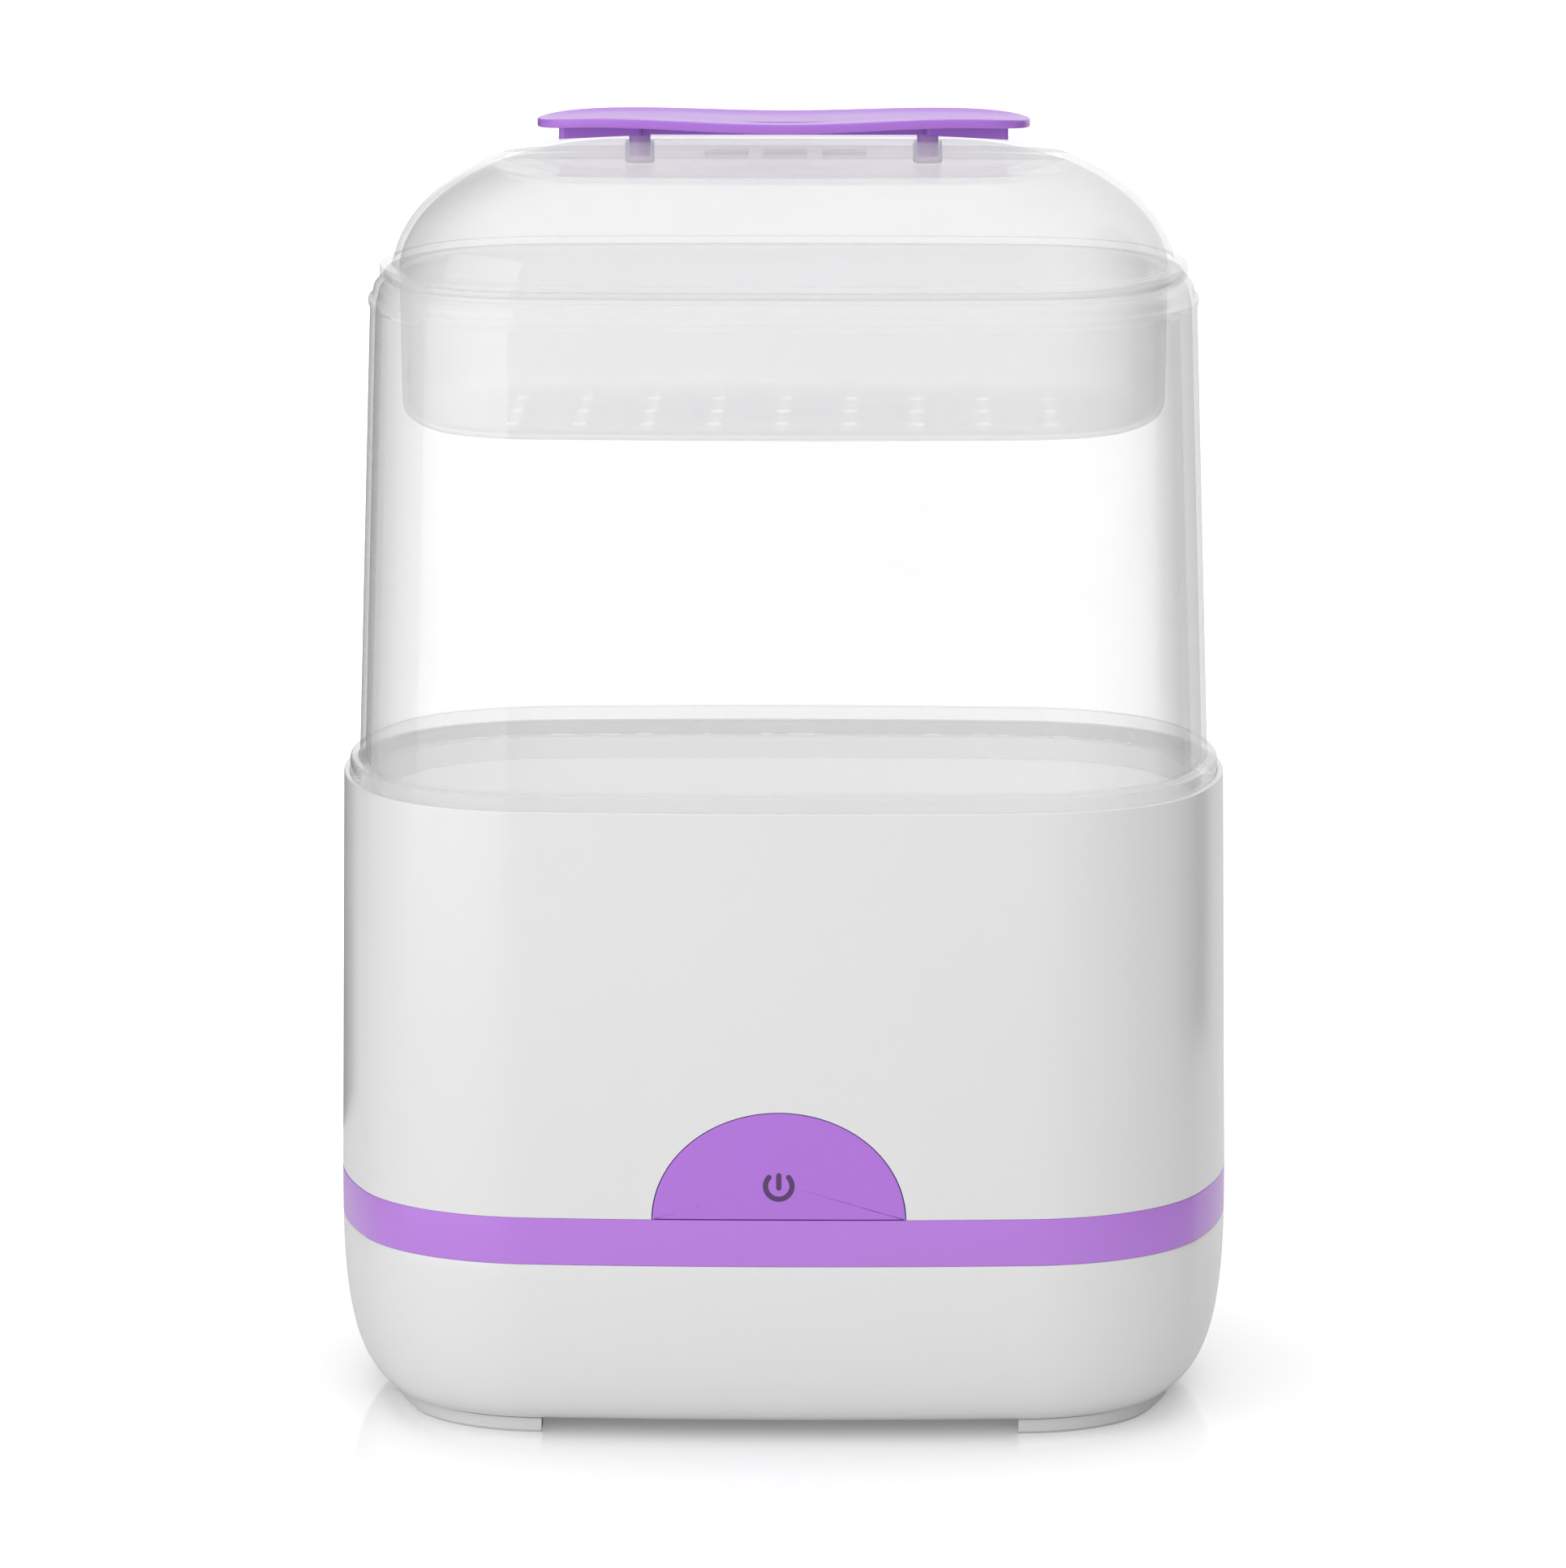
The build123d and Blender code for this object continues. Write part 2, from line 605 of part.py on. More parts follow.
def make_power_led():
    base_radius, lens_radius = LAMP_RADII
    step, tip = [BOARD_FRONT - depth for depth in LAMP_DEPTHS]
    base = rod_y(base_radius, 0, SYMBOL_HEIGHT, step, BOARD_FRONT)
    lens = rod_y(lens_radius, 0, SYMBOL_HEIGHT, tip, step)
    return base + lens + Pos(0, tip, SYMBOL_HEIGHT) * Sphere(lens_radius)


def make_power_relay():
    return fillet(box(*RELAY).edges(), RELAY_EDGE)


def make_terminal_block():
    block = box(*TERMINAL_BLOCK)
    top = TERMINAL_BLOCK[2][1] + PAST
    for x in TERMINAL_WELLS:
        block -= rod(TERMINAL_WELL_RADIUS, x, TERMINAL_WELL_Y, TERMINAL_WELL_FLOOR, top)
    return block


# ---- Steam tub and heater -----------------------------------------------------------------------


def tub_bosses():
    """Blind bosses under the floor for the case screws."""
    low, high = CASE_BOSS_TOP + TUB_BOSS_GAP, TUB_FLOOR[0] + PAST
    return [rod(TUB_BOSS_RADIUS, x, y, low, high) for x, y in CASE_SCREW_PLACES]


def make_steam_tub():
    rim_low, rim_high = TUB_RIM
    step_low, step_high = TUB_STEP
    floor_low, floor_high = TUB_FLOOR
    rim, foot, well_rim, well_foot = TUB_INSETS
    points = [
        (SLEEVE_FOOT_INSET, rim_high),
        (SLEEVE_FOOT_INSET, rim_low),
        (rim, rim_low),
        (foot, step_low),
        (well_rim, step_low),
        (well_foot, floor_low),
        (CORE_INSET, floor_low),
        (CORE_INSET, floor_high),
        (well_foot + TUB_WALL, floor_high),
        (well_rim + TUB_WALL, step_high),
        (foot + TUB_WALL, step_high),
        (rim + TUB_WALL, rim_high),
    ]
    tub = ring(outline(*points)) + plate(CORE_INSET, floor_low, floor_high)
    tub -= rod(HEATER_OPENING, 0, 0, floor_low - PAST, floor_high + PAST)
    tub += tub_bosses()
    bore_top = CASE_SEAT + CASE_SCREW_LENGTH + PAST
    tub -= [rod(CASE_SCREW_HOLE, x, y, CASE_BOSS_TOP, bore_top) for x, y in CASE_SCREW_PLACES]
    for x in (-BOARD_SCREW_X, BOARD_SCREW_X):
        tub += rod_y(BOARD_LUG_RADIUS, x, BOARD_SCREW_Z, BOARD_REAR, BOARD_LUG_BACK)
        tub -= rod_y(SMALL_SCREW_HOLE, x, BOARD_SCREW_Z, BOARD_REAR - PAST, BOARD_LUG_DEPTH)
    return tub


def turned(*points):
    """A solid of revolution about the Z axis from (radius, height) points."""
    return revolve(Plane.XZ * outline(*points), Axis.Z)


def heater_screw_places():
    return [on_circle(HEATER_SCREW_CIRCLE, turn) for turn in HEATER_SCREW_TURNS]


def make_heating_plate():
    low, high = PLATE_HEIGHTS
    depth, dish_floor, dish_rim = PLATE_DISH
    body = turned(
        (0, high - depth),
        (dish_floor, high - depth),
        (dish_rim, high),
        (PLATE_RADIUS, high),
        (PLATE_RADIUS, low),
        (SPIGOT_RADIUS, low),
        (SPIGOT_RADIUS, SPIGOT_BOTTOM),
        (SPIGOT_RADIUS - SPIGOT_WALL, SPIGOT_BOTTOM),
        (SPIGOT_RADIUS - SPIGOT_WALL, PLATE_UNDERSIDE),
        (0, PLATE_UNDERSIDE),
    )
    for x, y in heater_screw_places():
        body += rod(HEATER_PAD_RADIUS, x, y, SPIGOT_BOTTOM, low)
        body -= rod(SMALL_SCREW_HOLE, x, y, SPIGOT_BOTTOM - PAST, HEATER_BORE_TOP)
    return body


def make_plate_gasket():
    low, high = TUB_FLOOR[1], PLATE_HEIGHTS[0]
    inner, outer, bulge = GASKET_RADII
    return turned((inner, low), (outer, low), (bulge, (low + high) / 2), (outer, high), (inner, high))


def make_clamp_ring():
    low, high, top = SPIGOT_BOTTOM - CLAMP_THICKNESS, SPIGOT_BOTTOM, TUB_FLOOR[0]
    inner, lip, outer = CLAMP_RADII
    clamp = turned((inner, low), (outer, low), (outer, top), (lip, top), (lip, high), (inner, high))
    for x, y in heater_screw_places():
        clamp -= rod(CLAMP_HOLE, x, y, low - PAST, high + PAST)
    return clamp


def make_heater_screws():
    low = SPIGOT_BOTTOM - CLAMP_THICKNESS
    radius, height = HEATER_SCREW_HEAD
    screws = []
    for x, y in heater_screw_places():
        head = rod(radius, x, y, low - height, low)
        screws.append(head + rod(SMALL_SCREW_RADIUS, x, y, low, HEATER_SCREW_TOP))
    return screws


def element_height():
    return PLATE_UNDERSIDE - ELEMENT_TUBE


def element_ends():
    """Where the element's two ends turn down to their terminals."""
    return [on_circle(ELEMENT_RADIUS, 270 + sign * ELEMENT_GAP_TURN / 2) for sign in (-1, 1)]


def make_heating_element():
    """A tubular element bent to an open ring, with a terminal pin at each end."""
    tube = Pos(ELEMENT_RADIUS, 0, element_height()) * Rot(90, 0, 0) * Circle(ELEMENT_TUBE)
    bend = Rot(0, 0, 270 + ELEMENT_GAP_TURN / 2) * revolve(tube, Axis.Z, 360 - ELEMENT_GAP_TURN)
    for x, y in element_ends():
        bend += Pos(x, y, element_height()) * Sphere(ELEMENT_TUBE)
        bend += rod(ELEMENT_PIN_RADIUS, x, y, ELEMENT_PIN_TIP, element_height())
    return bend


def make_thermostat():
    top = PLATE_UNDERSIDE
    radius, rim = THERMOSTAT_RADII
    height, rim_height = THERMOSTAT_HEIGHTS
    offset, thick, wide = THERMOSTAT_TABS
    span = [top - drop for drop in THERMOSTAT_TAB_SPAN]
    can = rod(radius, 0, 0, top - height, top) + rod(rim, 0, 0, top - rim_height, top)
    for x in (-offset, offset):
        can += box((x - thick, x + thick), (-wide, wide), span)
    return can


def make_thermal_fuse():
    """A capsule fuse strapped to the underside of the plate."""
    along, across, tall = FUSE_STRAP
    z = PLATE_UNDERSIDE - tall
    fuse = rod_y(FUSE_RADIUS, FUSE_X, z, -FUSE_HALF_LENGTH, FUSE_HALF_LENGTH)
    return fuse + box((FUSE_X - along, FUSE_X + along), (-across, across), (z - tall, z + tall))


# ---- Mains inlet and wires ----------------------------------------------------------------------


def make_mains_inlet():
    wide, tall = INLET_BODY
    flange_x, flange_z, thickness = INLET_FLANGE
    cavity_x, cavity_z, back_wall = INLET_CAVITY
    z, face = INLET_HEIGHT, INLET_FACE
    flange = box((-flange_x, flange_x), (face, face + thickness), (z - flange_z, z + flange_z))
    body = box((-wide / 2, wide / 2), (INLET_BACK, face + INLET_LAP), (z - tall / 2, z + tall / 2))
    past = face + thickness + PAST
    cavity = box((-cavity_x, cavity_x), (INLET_BACK + back_wall, past), (z - cavity_z, z + cavity_z))
    inlet = fillet(flange.edges().filter_by(Axis.Y), INLET_FLANGE_CORNER) + body - cavity
    for x in (-INLET_SCREW_X, INLET_SCREW_X):
        inlet -= rod_y(BOARD_HOLE, x, z, face - PAST, past)
    return inlet - pin_bars(INLET_BACK - PAST, INLET_BACK + back_wall + PAST)


def pin_bars(front, back):
    """The section of each pin from one y to another."""
    half_x, half_z = PIN_HALF
    return [box((x - half_x, x + half_x), (front, back), (z - half_z, z + half_z)) for x, z in PIN_PLACES]


def make_inlet_pins():
    return pin_bars(INLET_BACK - PIN_TAIL, INLET_FACE - PAST)


def make_inlet_screws():
    radius, height = INLET_SCREW_HEAD
    seat, z = INLET_FACE + INLET_FLANGE[2], INLET_HEIGHT
    screws = []
    for x in (-INLET_SCREW_X, INLET_SCREW_X):
        head = rod_y(radius, x, z, seat, seat + height)
        screws.append(head + rod_y(SMALL_SCREW_RADIUS, x, z, INLET_FACE - INLET_SCREW_REACH, seat))
    return screws


def wire(radius, points, leaves, arrives):
    """A round wire through points, with the directions of its two ends."""
    path = Spline(*points, tangents=(leaves, arrives))
    return sweep(Plane(origin=path @ 0, z_dir=leaves) * Circle(radius), path=path)


def make_heater_wires():
    """One wire from each terminal pin of the element, to the relay and to the terminal block."""
    wires = []
    for (x, y), run in zip(element_ends(), (LEFT_HEATER_RUN, RIGHT_HEATER_RUN)):
        wires.append(wire(HEATER_WIRE_RADIUS, [(x, y, ELEMENT_PIN_TIP - GAP), *run], DOWN, FORWARD))
    return wires


# ---- Rack, sleeve, tray -------------------------------------------------------------------------


def make_bottle_rack():
    """A slotted plate with six tapered posts that upturned bottles stand over."""
    low, high = RACK_HEIGHTS
    rack = plate(RACK_INSET, low, high)
    post = Cone(*RACK_POST_RADII, RACK_POST_TOP - high, align=(Align.CENTER, Align.CENTER, Align.MIN))
    for x, y in RACK_PLACES:
        rack += Pos(x, y, high) * post
        for step in range(RACK_SLOTS):
            turn = 360 * step / RACK_SLOTS
            dx, dy = on_circle(RACK_SLOT_CIRCLE, turn)
            slot = extrude(SlotOverall(*RACK_SLOT, rotation=turn), high - low + 2 * PAST)
            rack -= Pos(x + dx, y + dy, low - PAST) * slot
    return rack


def make_chamber_sleeve():
    foot_low, foot_high = SLEEVE_FOOT
    bead_low, bead_high = SLEEVE_BEAD
    skirt_low, skirt_high = SLEEVE_SKIRT
    inner_foot = SLEEVE_WALL_FOOT + CLEAR_WALL
    inner_head = SLEEVE_WALL_HEAD + CLEAR_WALL
    shoulder = ThreePointArc(*SLEEVE_SHOULDER)
    inside = ThreePointArc(*SLEEVE_SHOULDER_INSIDE)
    bead_middle = (SLEEVE_BEAD_INSET, (bead_low + bead_high) / 2)
    bead = ThreePointArc((SLEEVE_WALL_HEAD, bead_low), bead_middle, shoulder @ 0)
    lip = SLEEVE_OPENING
    head = Polyline(shoulder @ 1, (lip, SLEEVE_TOP), (lip, SLEEVE_TOP - CLEAR_WALL), inside @ 0)
    rest = Polyline(
        inside @ 1,
        (inner_head, bead_low),
        (inner_foot, foot_high),
        (inner_foot + CLEAR_WALL, skirt_high),
        (inner_foot + CLEAR_WALL, skirt_low),
        (inner_foot, skirt_low),
        (inner_foot, foot_low),
        (SLEEVE_FOOT_INSET, foot_low),
        (SLEEVE_FOOT_INSET, foot_high - SLEEVE_CHAMFER),
        (SLEEVE_FOOT_INSET + SLEEVE_CHAMFER, foot_high),
        (SLEEVE_WALL_FOOT, foot_high),
        bead @ 0,
    )
    return ring(make_face([bead, shoulder, head.edges(), inside, rest.edges()]))


def tray_slots():
    """Steam slots in the tray's floor."""
    slots = []
    for row in TRAY_ROWS:
        for step in TRAY_STEPS:
            slot = extrude(SlotOverall(*TRAY_SLOT, rotation=90), CLEAR_WALL + 2 * PAST)
            slots.append(Pos(step * TRAY_PITCH, row, TRAY_BOTTOM - PAST) * slot)
    return slots


def make_parts_tray():
    rim_top = SLEEVE_TOP + TRAY_RIM_THICKNESS
    wall = TRAY_WALL_INSET
    floor = TRAY_BOTTOM
    centre = (wall + TRAY_LEAN + TRAY_FILLET, floor + TRAY_FILLET)
    outer_turn = CenterArc(centre, TRAY_FILLET, 180, 90)
    inner_turn = CenterArc(centre, TRAY_FILLET - CLEAR_WALL, 270, -90)
    base = Polyline(outer_turn @ 1, (CORE_INSET, floor), (CORE_INSET, floor + CLEAR_WALL), inner_turn @ 0)
    rest = Polyline(
        inner_turn @ 1,
        (wall + CLEAR_WALL, rim_top),
        (TRAY_RIM_INSET, rim_top),
        (TRAY_RIM_INSET, SLEEVE_TOP),
        (wall, SLEEVE_TOP),
        outer_turn @ 0,
    )
    tray = ring(make_face([outer_turn, base.edges(), inner_turn, rest.edges()]))
    return tray + plate(CORE_INSET, floor, floor + CLEAR_WALL) - tray_slots()


# ---- Lid and handle -----------------------------------------------------------------------------


def dome(thickness, lift=0.0):
    """The filled dome, inside a wall of the given thickness: ovals that shrink along a quarter ellipse."""
    inset = DOME_INSET + thickness
    half_width = HALF_WIDTH - inset
    rise = DOME_TOP - DOME_CENTRE - thickness
    sections = []
    for step in range(DOME_SECTIONS):
        turn = math.radians(90 * step / (DOME_SECTIONS - 1))
        scale = 1 - DOME_REACH * (1 - math.cos(turn)) / half_width
        sections.append(oval_face(inset, DOME_CENTRE + rise * math.sin(turn) + lift, scale))
    return loft(sections)


def scoops(thickness):
    """What the two finger scoops take off the dome; a wall thickness moves them down and inwards."""
    near = RIDGE_HALF - thickness
    near_height = DOME_TOP - SCOOP_DROP[0] - thickness
    far_height = DOME_TOP - SCOOP_DROP[1] - thickness
    above = DOME_TOP + PAST
    left = Plane(origin=(-HALF_WIDTH, 0, 0), x_dir=(0, 1, 0), z_dir=(1, 0, 0))
    parts = []
    for side in (-1, 1):
        wall = [(near, above), (near, near_height)]
        floor = [(SCOOP_FRONT, far_height), (HALF_DEPTH, far_height), (HALF_DEPTH, above)]
        face = outline(*[(side * y, z) for y, z in wall + floor])
        face = fillet(face.vertices().sort_by_distance((side * near, near_height))[0], SCOOP_FILLET)
        parts.append(extrude(left * face, 2 * HALF_WIDTH))
    return parts


def lid_flange():
    outer = LID_FLANGE_INSET
    inner = outer + LID_LIP
    wall = DOME_INSET + PAST
    low, high = SLEEVE_TOP + LID_LIP_GAP, LID_FLANGE_TOP
    outside = [(outer, low), (outer, high - LID_CHAMFER), (outer + LID_CHAMFER, high), (wall, high)]
    return ring(outline(*outside, (wall, LID_SEAT), (inner, LID_SEAT), (inner, low)))


def steam_vents():
    """Slots in the rear scoop that let steam out."""
    slot = extrude(SlotOverall(*VENT_SLOT), DOME_TOP - LID_SEAT)
    return [Pos(x, y, LID_SEAT) * slot for x, y in VENT_PLACES]


def make_lid():
    outside = dome(0.0) - scoops(0.0)
    inside = dome(LID_WALL) - scoops(LID_WALL)
    below = box((-HALF_WIDTH, HALF_WIDTH), (-HALF_DEPTH, HALF_DEPTH), (DOME_CENTRE - PAST, LID_SEAT))
    lid = outside - inside - below + lid_flange()
    for x in (-POST_X, POST_X):
        lid += rod(LID_BOSS_RADIUS, x, 0, LID_BOSS_BOTTOM, DOME_TOP - LID_WALL / 2)
        lid -= rod(POST_HOLE, x, 0, DOME_TOP - POST_DEPTH, DOME_TOP + PAST)
    return lid - steam_vents()


def handle_outline():
    """Plan of the handle plate: two long arcs, with rounded blunt ends."""
    x, y = HANDLE_SHOULDER, HANDLE_END_HALF_DEPTH
    front = ThreePointArc((-x, -y), (0, -HANDLE_HALF_DEPTH), (x, -y))
    right = ThreePointArc((x, -y), (HANDLE_HALF_WIDTH, 0), (x, y))
    rear = ThreePointArc((x, y), (0, HANDLE_HALF_DEPTH), (-x, y))
    left = ThreePointArc((-x, y), (-HANDLE_HALF_WIDTH, 0), (-x, -y))
    return fillet(make_face([front, right, rear, left]).vertices(), HANDLE_CORNER)


def wave(end, middle, crest, tip):
    """One edge of the plate seen from the front, from -end to end."""
    x = HANDLE_CREST
    return Spline((-end, tip), (-x, crest), (0, middle), (x, crest), (end, tip))


def handle_slab():
    """The plate's wave: low in the middle, high near the ends, turned down at the tips."""
    end = HANDLE_HALF_WIDTH + PAST
    top, bottom = [wave(end, *heights) for heights in (HANDLE_TOP, HANDLE_BOTTOM)]
    face = make_face([top, Line(top @ 1, bottom @ 1), bottom, Line(bottom @ 0, top @ 0)])
    reach = HANDLE_HALF_DEPTH + PAST
    return extrude(front_plane(reach) * face, 2 * reach)


def handle_dish():
    """The shallow hollow in the plate's top."""
    return Pos(0, 0, HANDLE_DISH_FLOOR + HANDLE_DISH[2]) * scale(Sphere(1.0), HANDLE_DISH)


def make_lid_handle():
    blank = extrude(Pos(0, 0, DOME_TOP) * handle_outline(), HANDLE_TOP[1] + PAST - DOME_TOP)
    stem = box((-STEM_HALF_WIDTH, STEM_HALF_WIDTH), (-WEB_HALF_DEPTH, WEB_HALF_DEPTH), STEM_HEIGHTS)
    for side in (-1, 1):
        x = sorted((side * STEM_HALF_WIDTH, side * (STEM_HALF_WIDTH - STEM_LUG)))
        lug = box(x, (-STEM_HALF_DEPTH, STEM_HALF_DEPTH), STEM_HEIGHTS)
        stem += fillet(lug.edges().filter_by(Axis.Z), STEM_CORNER)
    handle = ((blank & handle_slab()) - handle_dish()) + (stem - dome(0.0, STEM_GAP))
    for x in (-POST_X, POST_X):
        handle += rod(POST_RADIUS, x, 0, DOME_TOP - POST_DEPTH + POST_GAP, POST_TOP)
    return handle


# ---- Write the parts ----------------------------------------------------------------------------


def main():
    symbol = make_power_symbol()
    nodes = {
        "bottom_pan": make_bottom_pan(),
        "trim_band": make_trim_band(),
        "upper_shell": make_upper_shell(),
        "steam_tub": make_steam_tub(),
        "case_screws": make_case_screws(),
        "foot_front_left": make_foot(-1, -1),
        "foot_front_right": make_foot(1, -1),
        "foot_rear_left": make_foot(-1, 1),
        "foot_rear_right": make_foot(1, 1),
        "power_button": make_power_button(symbol),
        "power_symbol": symbol,
        "control_board": make_control_board(),
        "board_screws": make_board_screws(),
        "push_switch": make_push_switch(),
        "switch_plunger": make_switch_plunger(),
        "power_led": make_power_led(),
        "power_relay": make_power_relay(),
        "terminal_block": make_terminal_block(),
        "heating_plate": make_heating_plate(),
        "plate_gasket": make_plate_gasket(),
        "heating_element": make_heating_element(),
        "heater_clamp_ring": make_clamp_ring(),
        "heater_screws": make_heater_screws(),
        "thermostat": make_thermostat(),
        "thermal_fuse": make_thermal_fuse(),
        "mains_inlet": make_mains_inlet(),
        "inlet_pins": make_inlet_pins(),
        "inlet_screws": make_inlet_screws(),
        "live_wire": wire(MAINS_WIRE_RADIUS, LIVE_RUN, FORWARD, FORWARD),
        "neutral_wire": wire(MAINS_WIRE_RADIUS, NEUTRAL_RUN, FORWARD, FORWARD),
        "earth_wire": wire(MAINS_WIRE_RADIUS, EARTH_RUN, FORWARD, UP),
        "heater_wires": make_heater_wires(),
        "bottle_rack": make_bottle_rack(),
        "chamber_sleeve": make_chamber_sleeve(),
        "parts_tray": make_parts_tray(),
        "lid": make_lid(),
        "lid_handle": make_lid_handle(),
    }
    os.makedirs("parts", exist_ok=True)
    for name, shape in nodes.items():
        pieces = shape if isinstance(shape, list) else [shape]
        solids = [solid for piece in pieces for solid in piece.solids()]
        export_step(Compound(children=solids), f"parts/{name}.step")


if __name__ == "__main__":
    main()
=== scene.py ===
"""Looks of the steam steriliser: swept shells, domed lid, handle, procedural plastics, studio and camera."""

import json
import math

import bmesh
import bpy
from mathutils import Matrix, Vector


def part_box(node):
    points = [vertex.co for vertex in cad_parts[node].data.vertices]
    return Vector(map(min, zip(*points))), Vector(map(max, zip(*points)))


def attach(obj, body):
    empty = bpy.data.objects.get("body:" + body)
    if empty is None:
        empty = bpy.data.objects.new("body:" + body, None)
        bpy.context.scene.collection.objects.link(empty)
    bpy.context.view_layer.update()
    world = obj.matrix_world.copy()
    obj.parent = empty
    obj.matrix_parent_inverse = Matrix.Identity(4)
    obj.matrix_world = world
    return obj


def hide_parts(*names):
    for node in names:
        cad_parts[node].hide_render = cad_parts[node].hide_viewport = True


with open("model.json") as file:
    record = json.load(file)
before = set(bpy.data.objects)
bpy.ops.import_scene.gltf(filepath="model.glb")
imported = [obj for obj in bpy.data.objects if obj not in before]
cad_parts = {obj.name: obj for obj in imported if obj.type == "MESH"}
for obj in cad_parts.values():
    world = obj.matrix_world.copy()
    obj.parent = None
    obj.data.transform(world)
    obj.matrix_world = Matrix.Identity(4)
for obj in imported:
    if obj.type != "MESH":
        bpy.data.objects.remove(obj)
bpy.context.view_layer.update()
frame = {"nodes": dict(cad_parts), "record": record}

NODES = frame["nodes"]
MM = 0.001

# ---- Shape, in millimetres ------------------------------------------------------------------------
# A place on a casing is (inset, height): how far it lies inside the oval of the trim band, and how
# high it is above the table.


def extent(node):
    """Lowest and highest corner of a CAD node in millimetres, to a tenth."""
    low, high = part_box(node)
    return [round(v / MM, 1) for v in low], [round(v / MM, 1) for v in high]


BAND_LOW, BAND_HIGH = extent("trim_band")
SHELL_TOP = extent("upper_shell")[1][2]
PAN_LOW, PAN_HIGH = extent("bottom_pan")
SLEEVE_LOW, SLEEVE_HIGH = extent("chamber_sleeve")
TRAY_LOW, TRAY_HIGH = extent("parts_tray")
LID_LOW, LID_HIGH = extent("lid")
HANDLE_LOW, HANDLE_HIGH = extent("lid_handle")
INLET_LOW, INLET_HIGH = extent("mains_inlet")

# The plan oval: shallow arcs in front, behind and at the sides, joined by corner arcs
HALF_WIDTH, HALF_DEPTH = BAND_HIGH[:2]
FRONT_RADIUS = 900.0
SIDE_RADIUS = 138.0
CORNER_RADIUS = 52.0
CORE_INSET = 34.0          # flat middles are closed from here, inside the corner arcs' reach
FRONT_STEPS = 28
CORNER_STEPS = 26
SIDE_STEPS = 16

# Casing
WALL = 2.5
EDGE = 0.35                # the usual edge rounding of a moulding
PAST = 1.0                 # how far a cutting body runs past the face it meets
BAND_BOTTOM, BAND_TOP = BAND_LOW[2], BAND_HIGH[2]
BAND_THICKNESS = 2.0
BAND_BACK_EDGE = 0.1
TONGUE = (2.2, 4.2)        # insets of the joining tongues behind the band
SHELL_DRAFT = 1.2          # how far the shell leans in from the band to its rim
SHELL_RIM_EDGE = 0.45
SHELL_LEDGE = (2.8, 164.7)             # the step that the tub's rim rests on
SHELL_INNER = ((3.0, 70.0), 66.0)      # where its inside meets the wall, and the top of its tongue
SHELL_TONGUE_FOOT = 55.2

# Bottom pan
BOWL_CENTRE = (17.0, 56.0)
BOWL_RADII = (17.0, 52.0)
BOWL_POWER = 2.7           # 2 would be a true ellipse
BOWL_STEPS = (36, 28)      # outside and inside
PAN_TONGUE = (46.0, 55.0)  # its foot and its top
PAN_INNER_TOP = 42.0
PAN_LIP = ((0.02, 1.0), (0.3, 0.3), (1.0, 0.0))   # rounding of its outer edge, in and down
COOLING_SLOT = (24.0, 2.4)
COOLING_ROWS = (-22.0, 22.0)
COOLING_STEPS = range(-3, 4)
COOLING_PITCH = 9.0
SCREW_HEAD_RADIUS = 3.75
SCREW_WELL_RADIUS = 4.5
SCREW_HOLE_RADIUS = 2.2
SCREW_SEAT = 30.0
BOSS_RADIUS = 6.0
BOSS_TOP = 39.8

# Mains inlet's pocket: half widths and half heights of its rings, and depths from the oval's back
INLET_RIM = (27.0, 14.0)
INLET_POCKET = (25.0, 12.0)
INLET_WINDOW = (13.8, 10.0)
INLET_RIM_INSET = 3.2
INLET_FACE = 2.0
INLET_CUT = (12.0, 5.0)

# Power button
MOON_STEPS = 64
MOON_FOOT_STEPS = 24       # the straight foot is split up, because the cap's face is bowed across it
BUTTON_GAP = 0.25
BUTTON_SKIRT = 2.0
BUTTON_CAP = 3.2
BUTTON_FLANGE = (4.5, 5.9)
BUTTON_FLANGE_GROWTH = 1.6
BUTTON_MIDDLE = 10.0       # height over the band of the point its face closes on
BUTTON_RINGS = (0.15, 0.4, 0.65, 0.85, 0.95, 1.0)
BUTTON_SINK = 0.04         # keeps the symbol's face just proud of the cap
BUTTON_BORDER = 0.35       # width of the rounded border round the face
BUTTON_ROUNDING = ((0.08, 0.17), (0.18, 0.06), (0.35, 0.0), (1.2, 0.0))   # depth, and distance from the rim
STEM_RADIUS = 2.5
STEM_START = 3.0
STEM_GAP = 0.1
BUTTON_CUT = (5.0, 12.0)   # how far the opening's cutter runs out of and into the shell
BUTTON_CUT_DROP = 0.3

# Clear sleeve, as insets and heights
CLEAR_WALL = 1.5
SLEEVE_TOP = SLEEVE_HIGH[2]
SLEEVE_FOOT_INSET = 2.9
SLEEVE_FOOT = (166.2, 174.0)
SLEEVE_SKIRT = (7.05, 8.55, 160.0)     # outside, inside and bottom
SLEEVE_SKIRT_TOP = 170.0
SLEEVE_WALL_FOOT = 5.55
SLEEVE_WALL_HEAD = (9.15, 296.0)
SLEEVE_BEAD = (8.75, 296.8, 298.4)     # inset, bottom and top
SLEEVE_SHOULDER = ((9.8, 299.2), (10.3, 301.8), (12.2, SLEEVE_TOP))
SLEEVE_OPENING = 15.5
SLEEVE_INSIDE = ((13.4, SLEEVE_TOP - CLEAR_WALL), (11.7, 300.6), (10.65, 296.0), (7.05, 174.5))

# Parts tray
TRAY_WALL_INSET = 17.2
TRAY_DRAFT = 0.6
TRAY_RIM_INSET = 13.4
TRAY_RIM_THICKNESS = 1.4
TRAY_BENDS = (5.0, 3.5)    # outside and inside rounding at its floor
TRAY_SLOT = (20.0, 4.0)
TRAY_SLOT_ROWS = (-30.0, 0.0, 30.0)
TRAY_SLOT_STEPS = range(-4, 5)
TRAY_SLOT_PITCH = 18.0

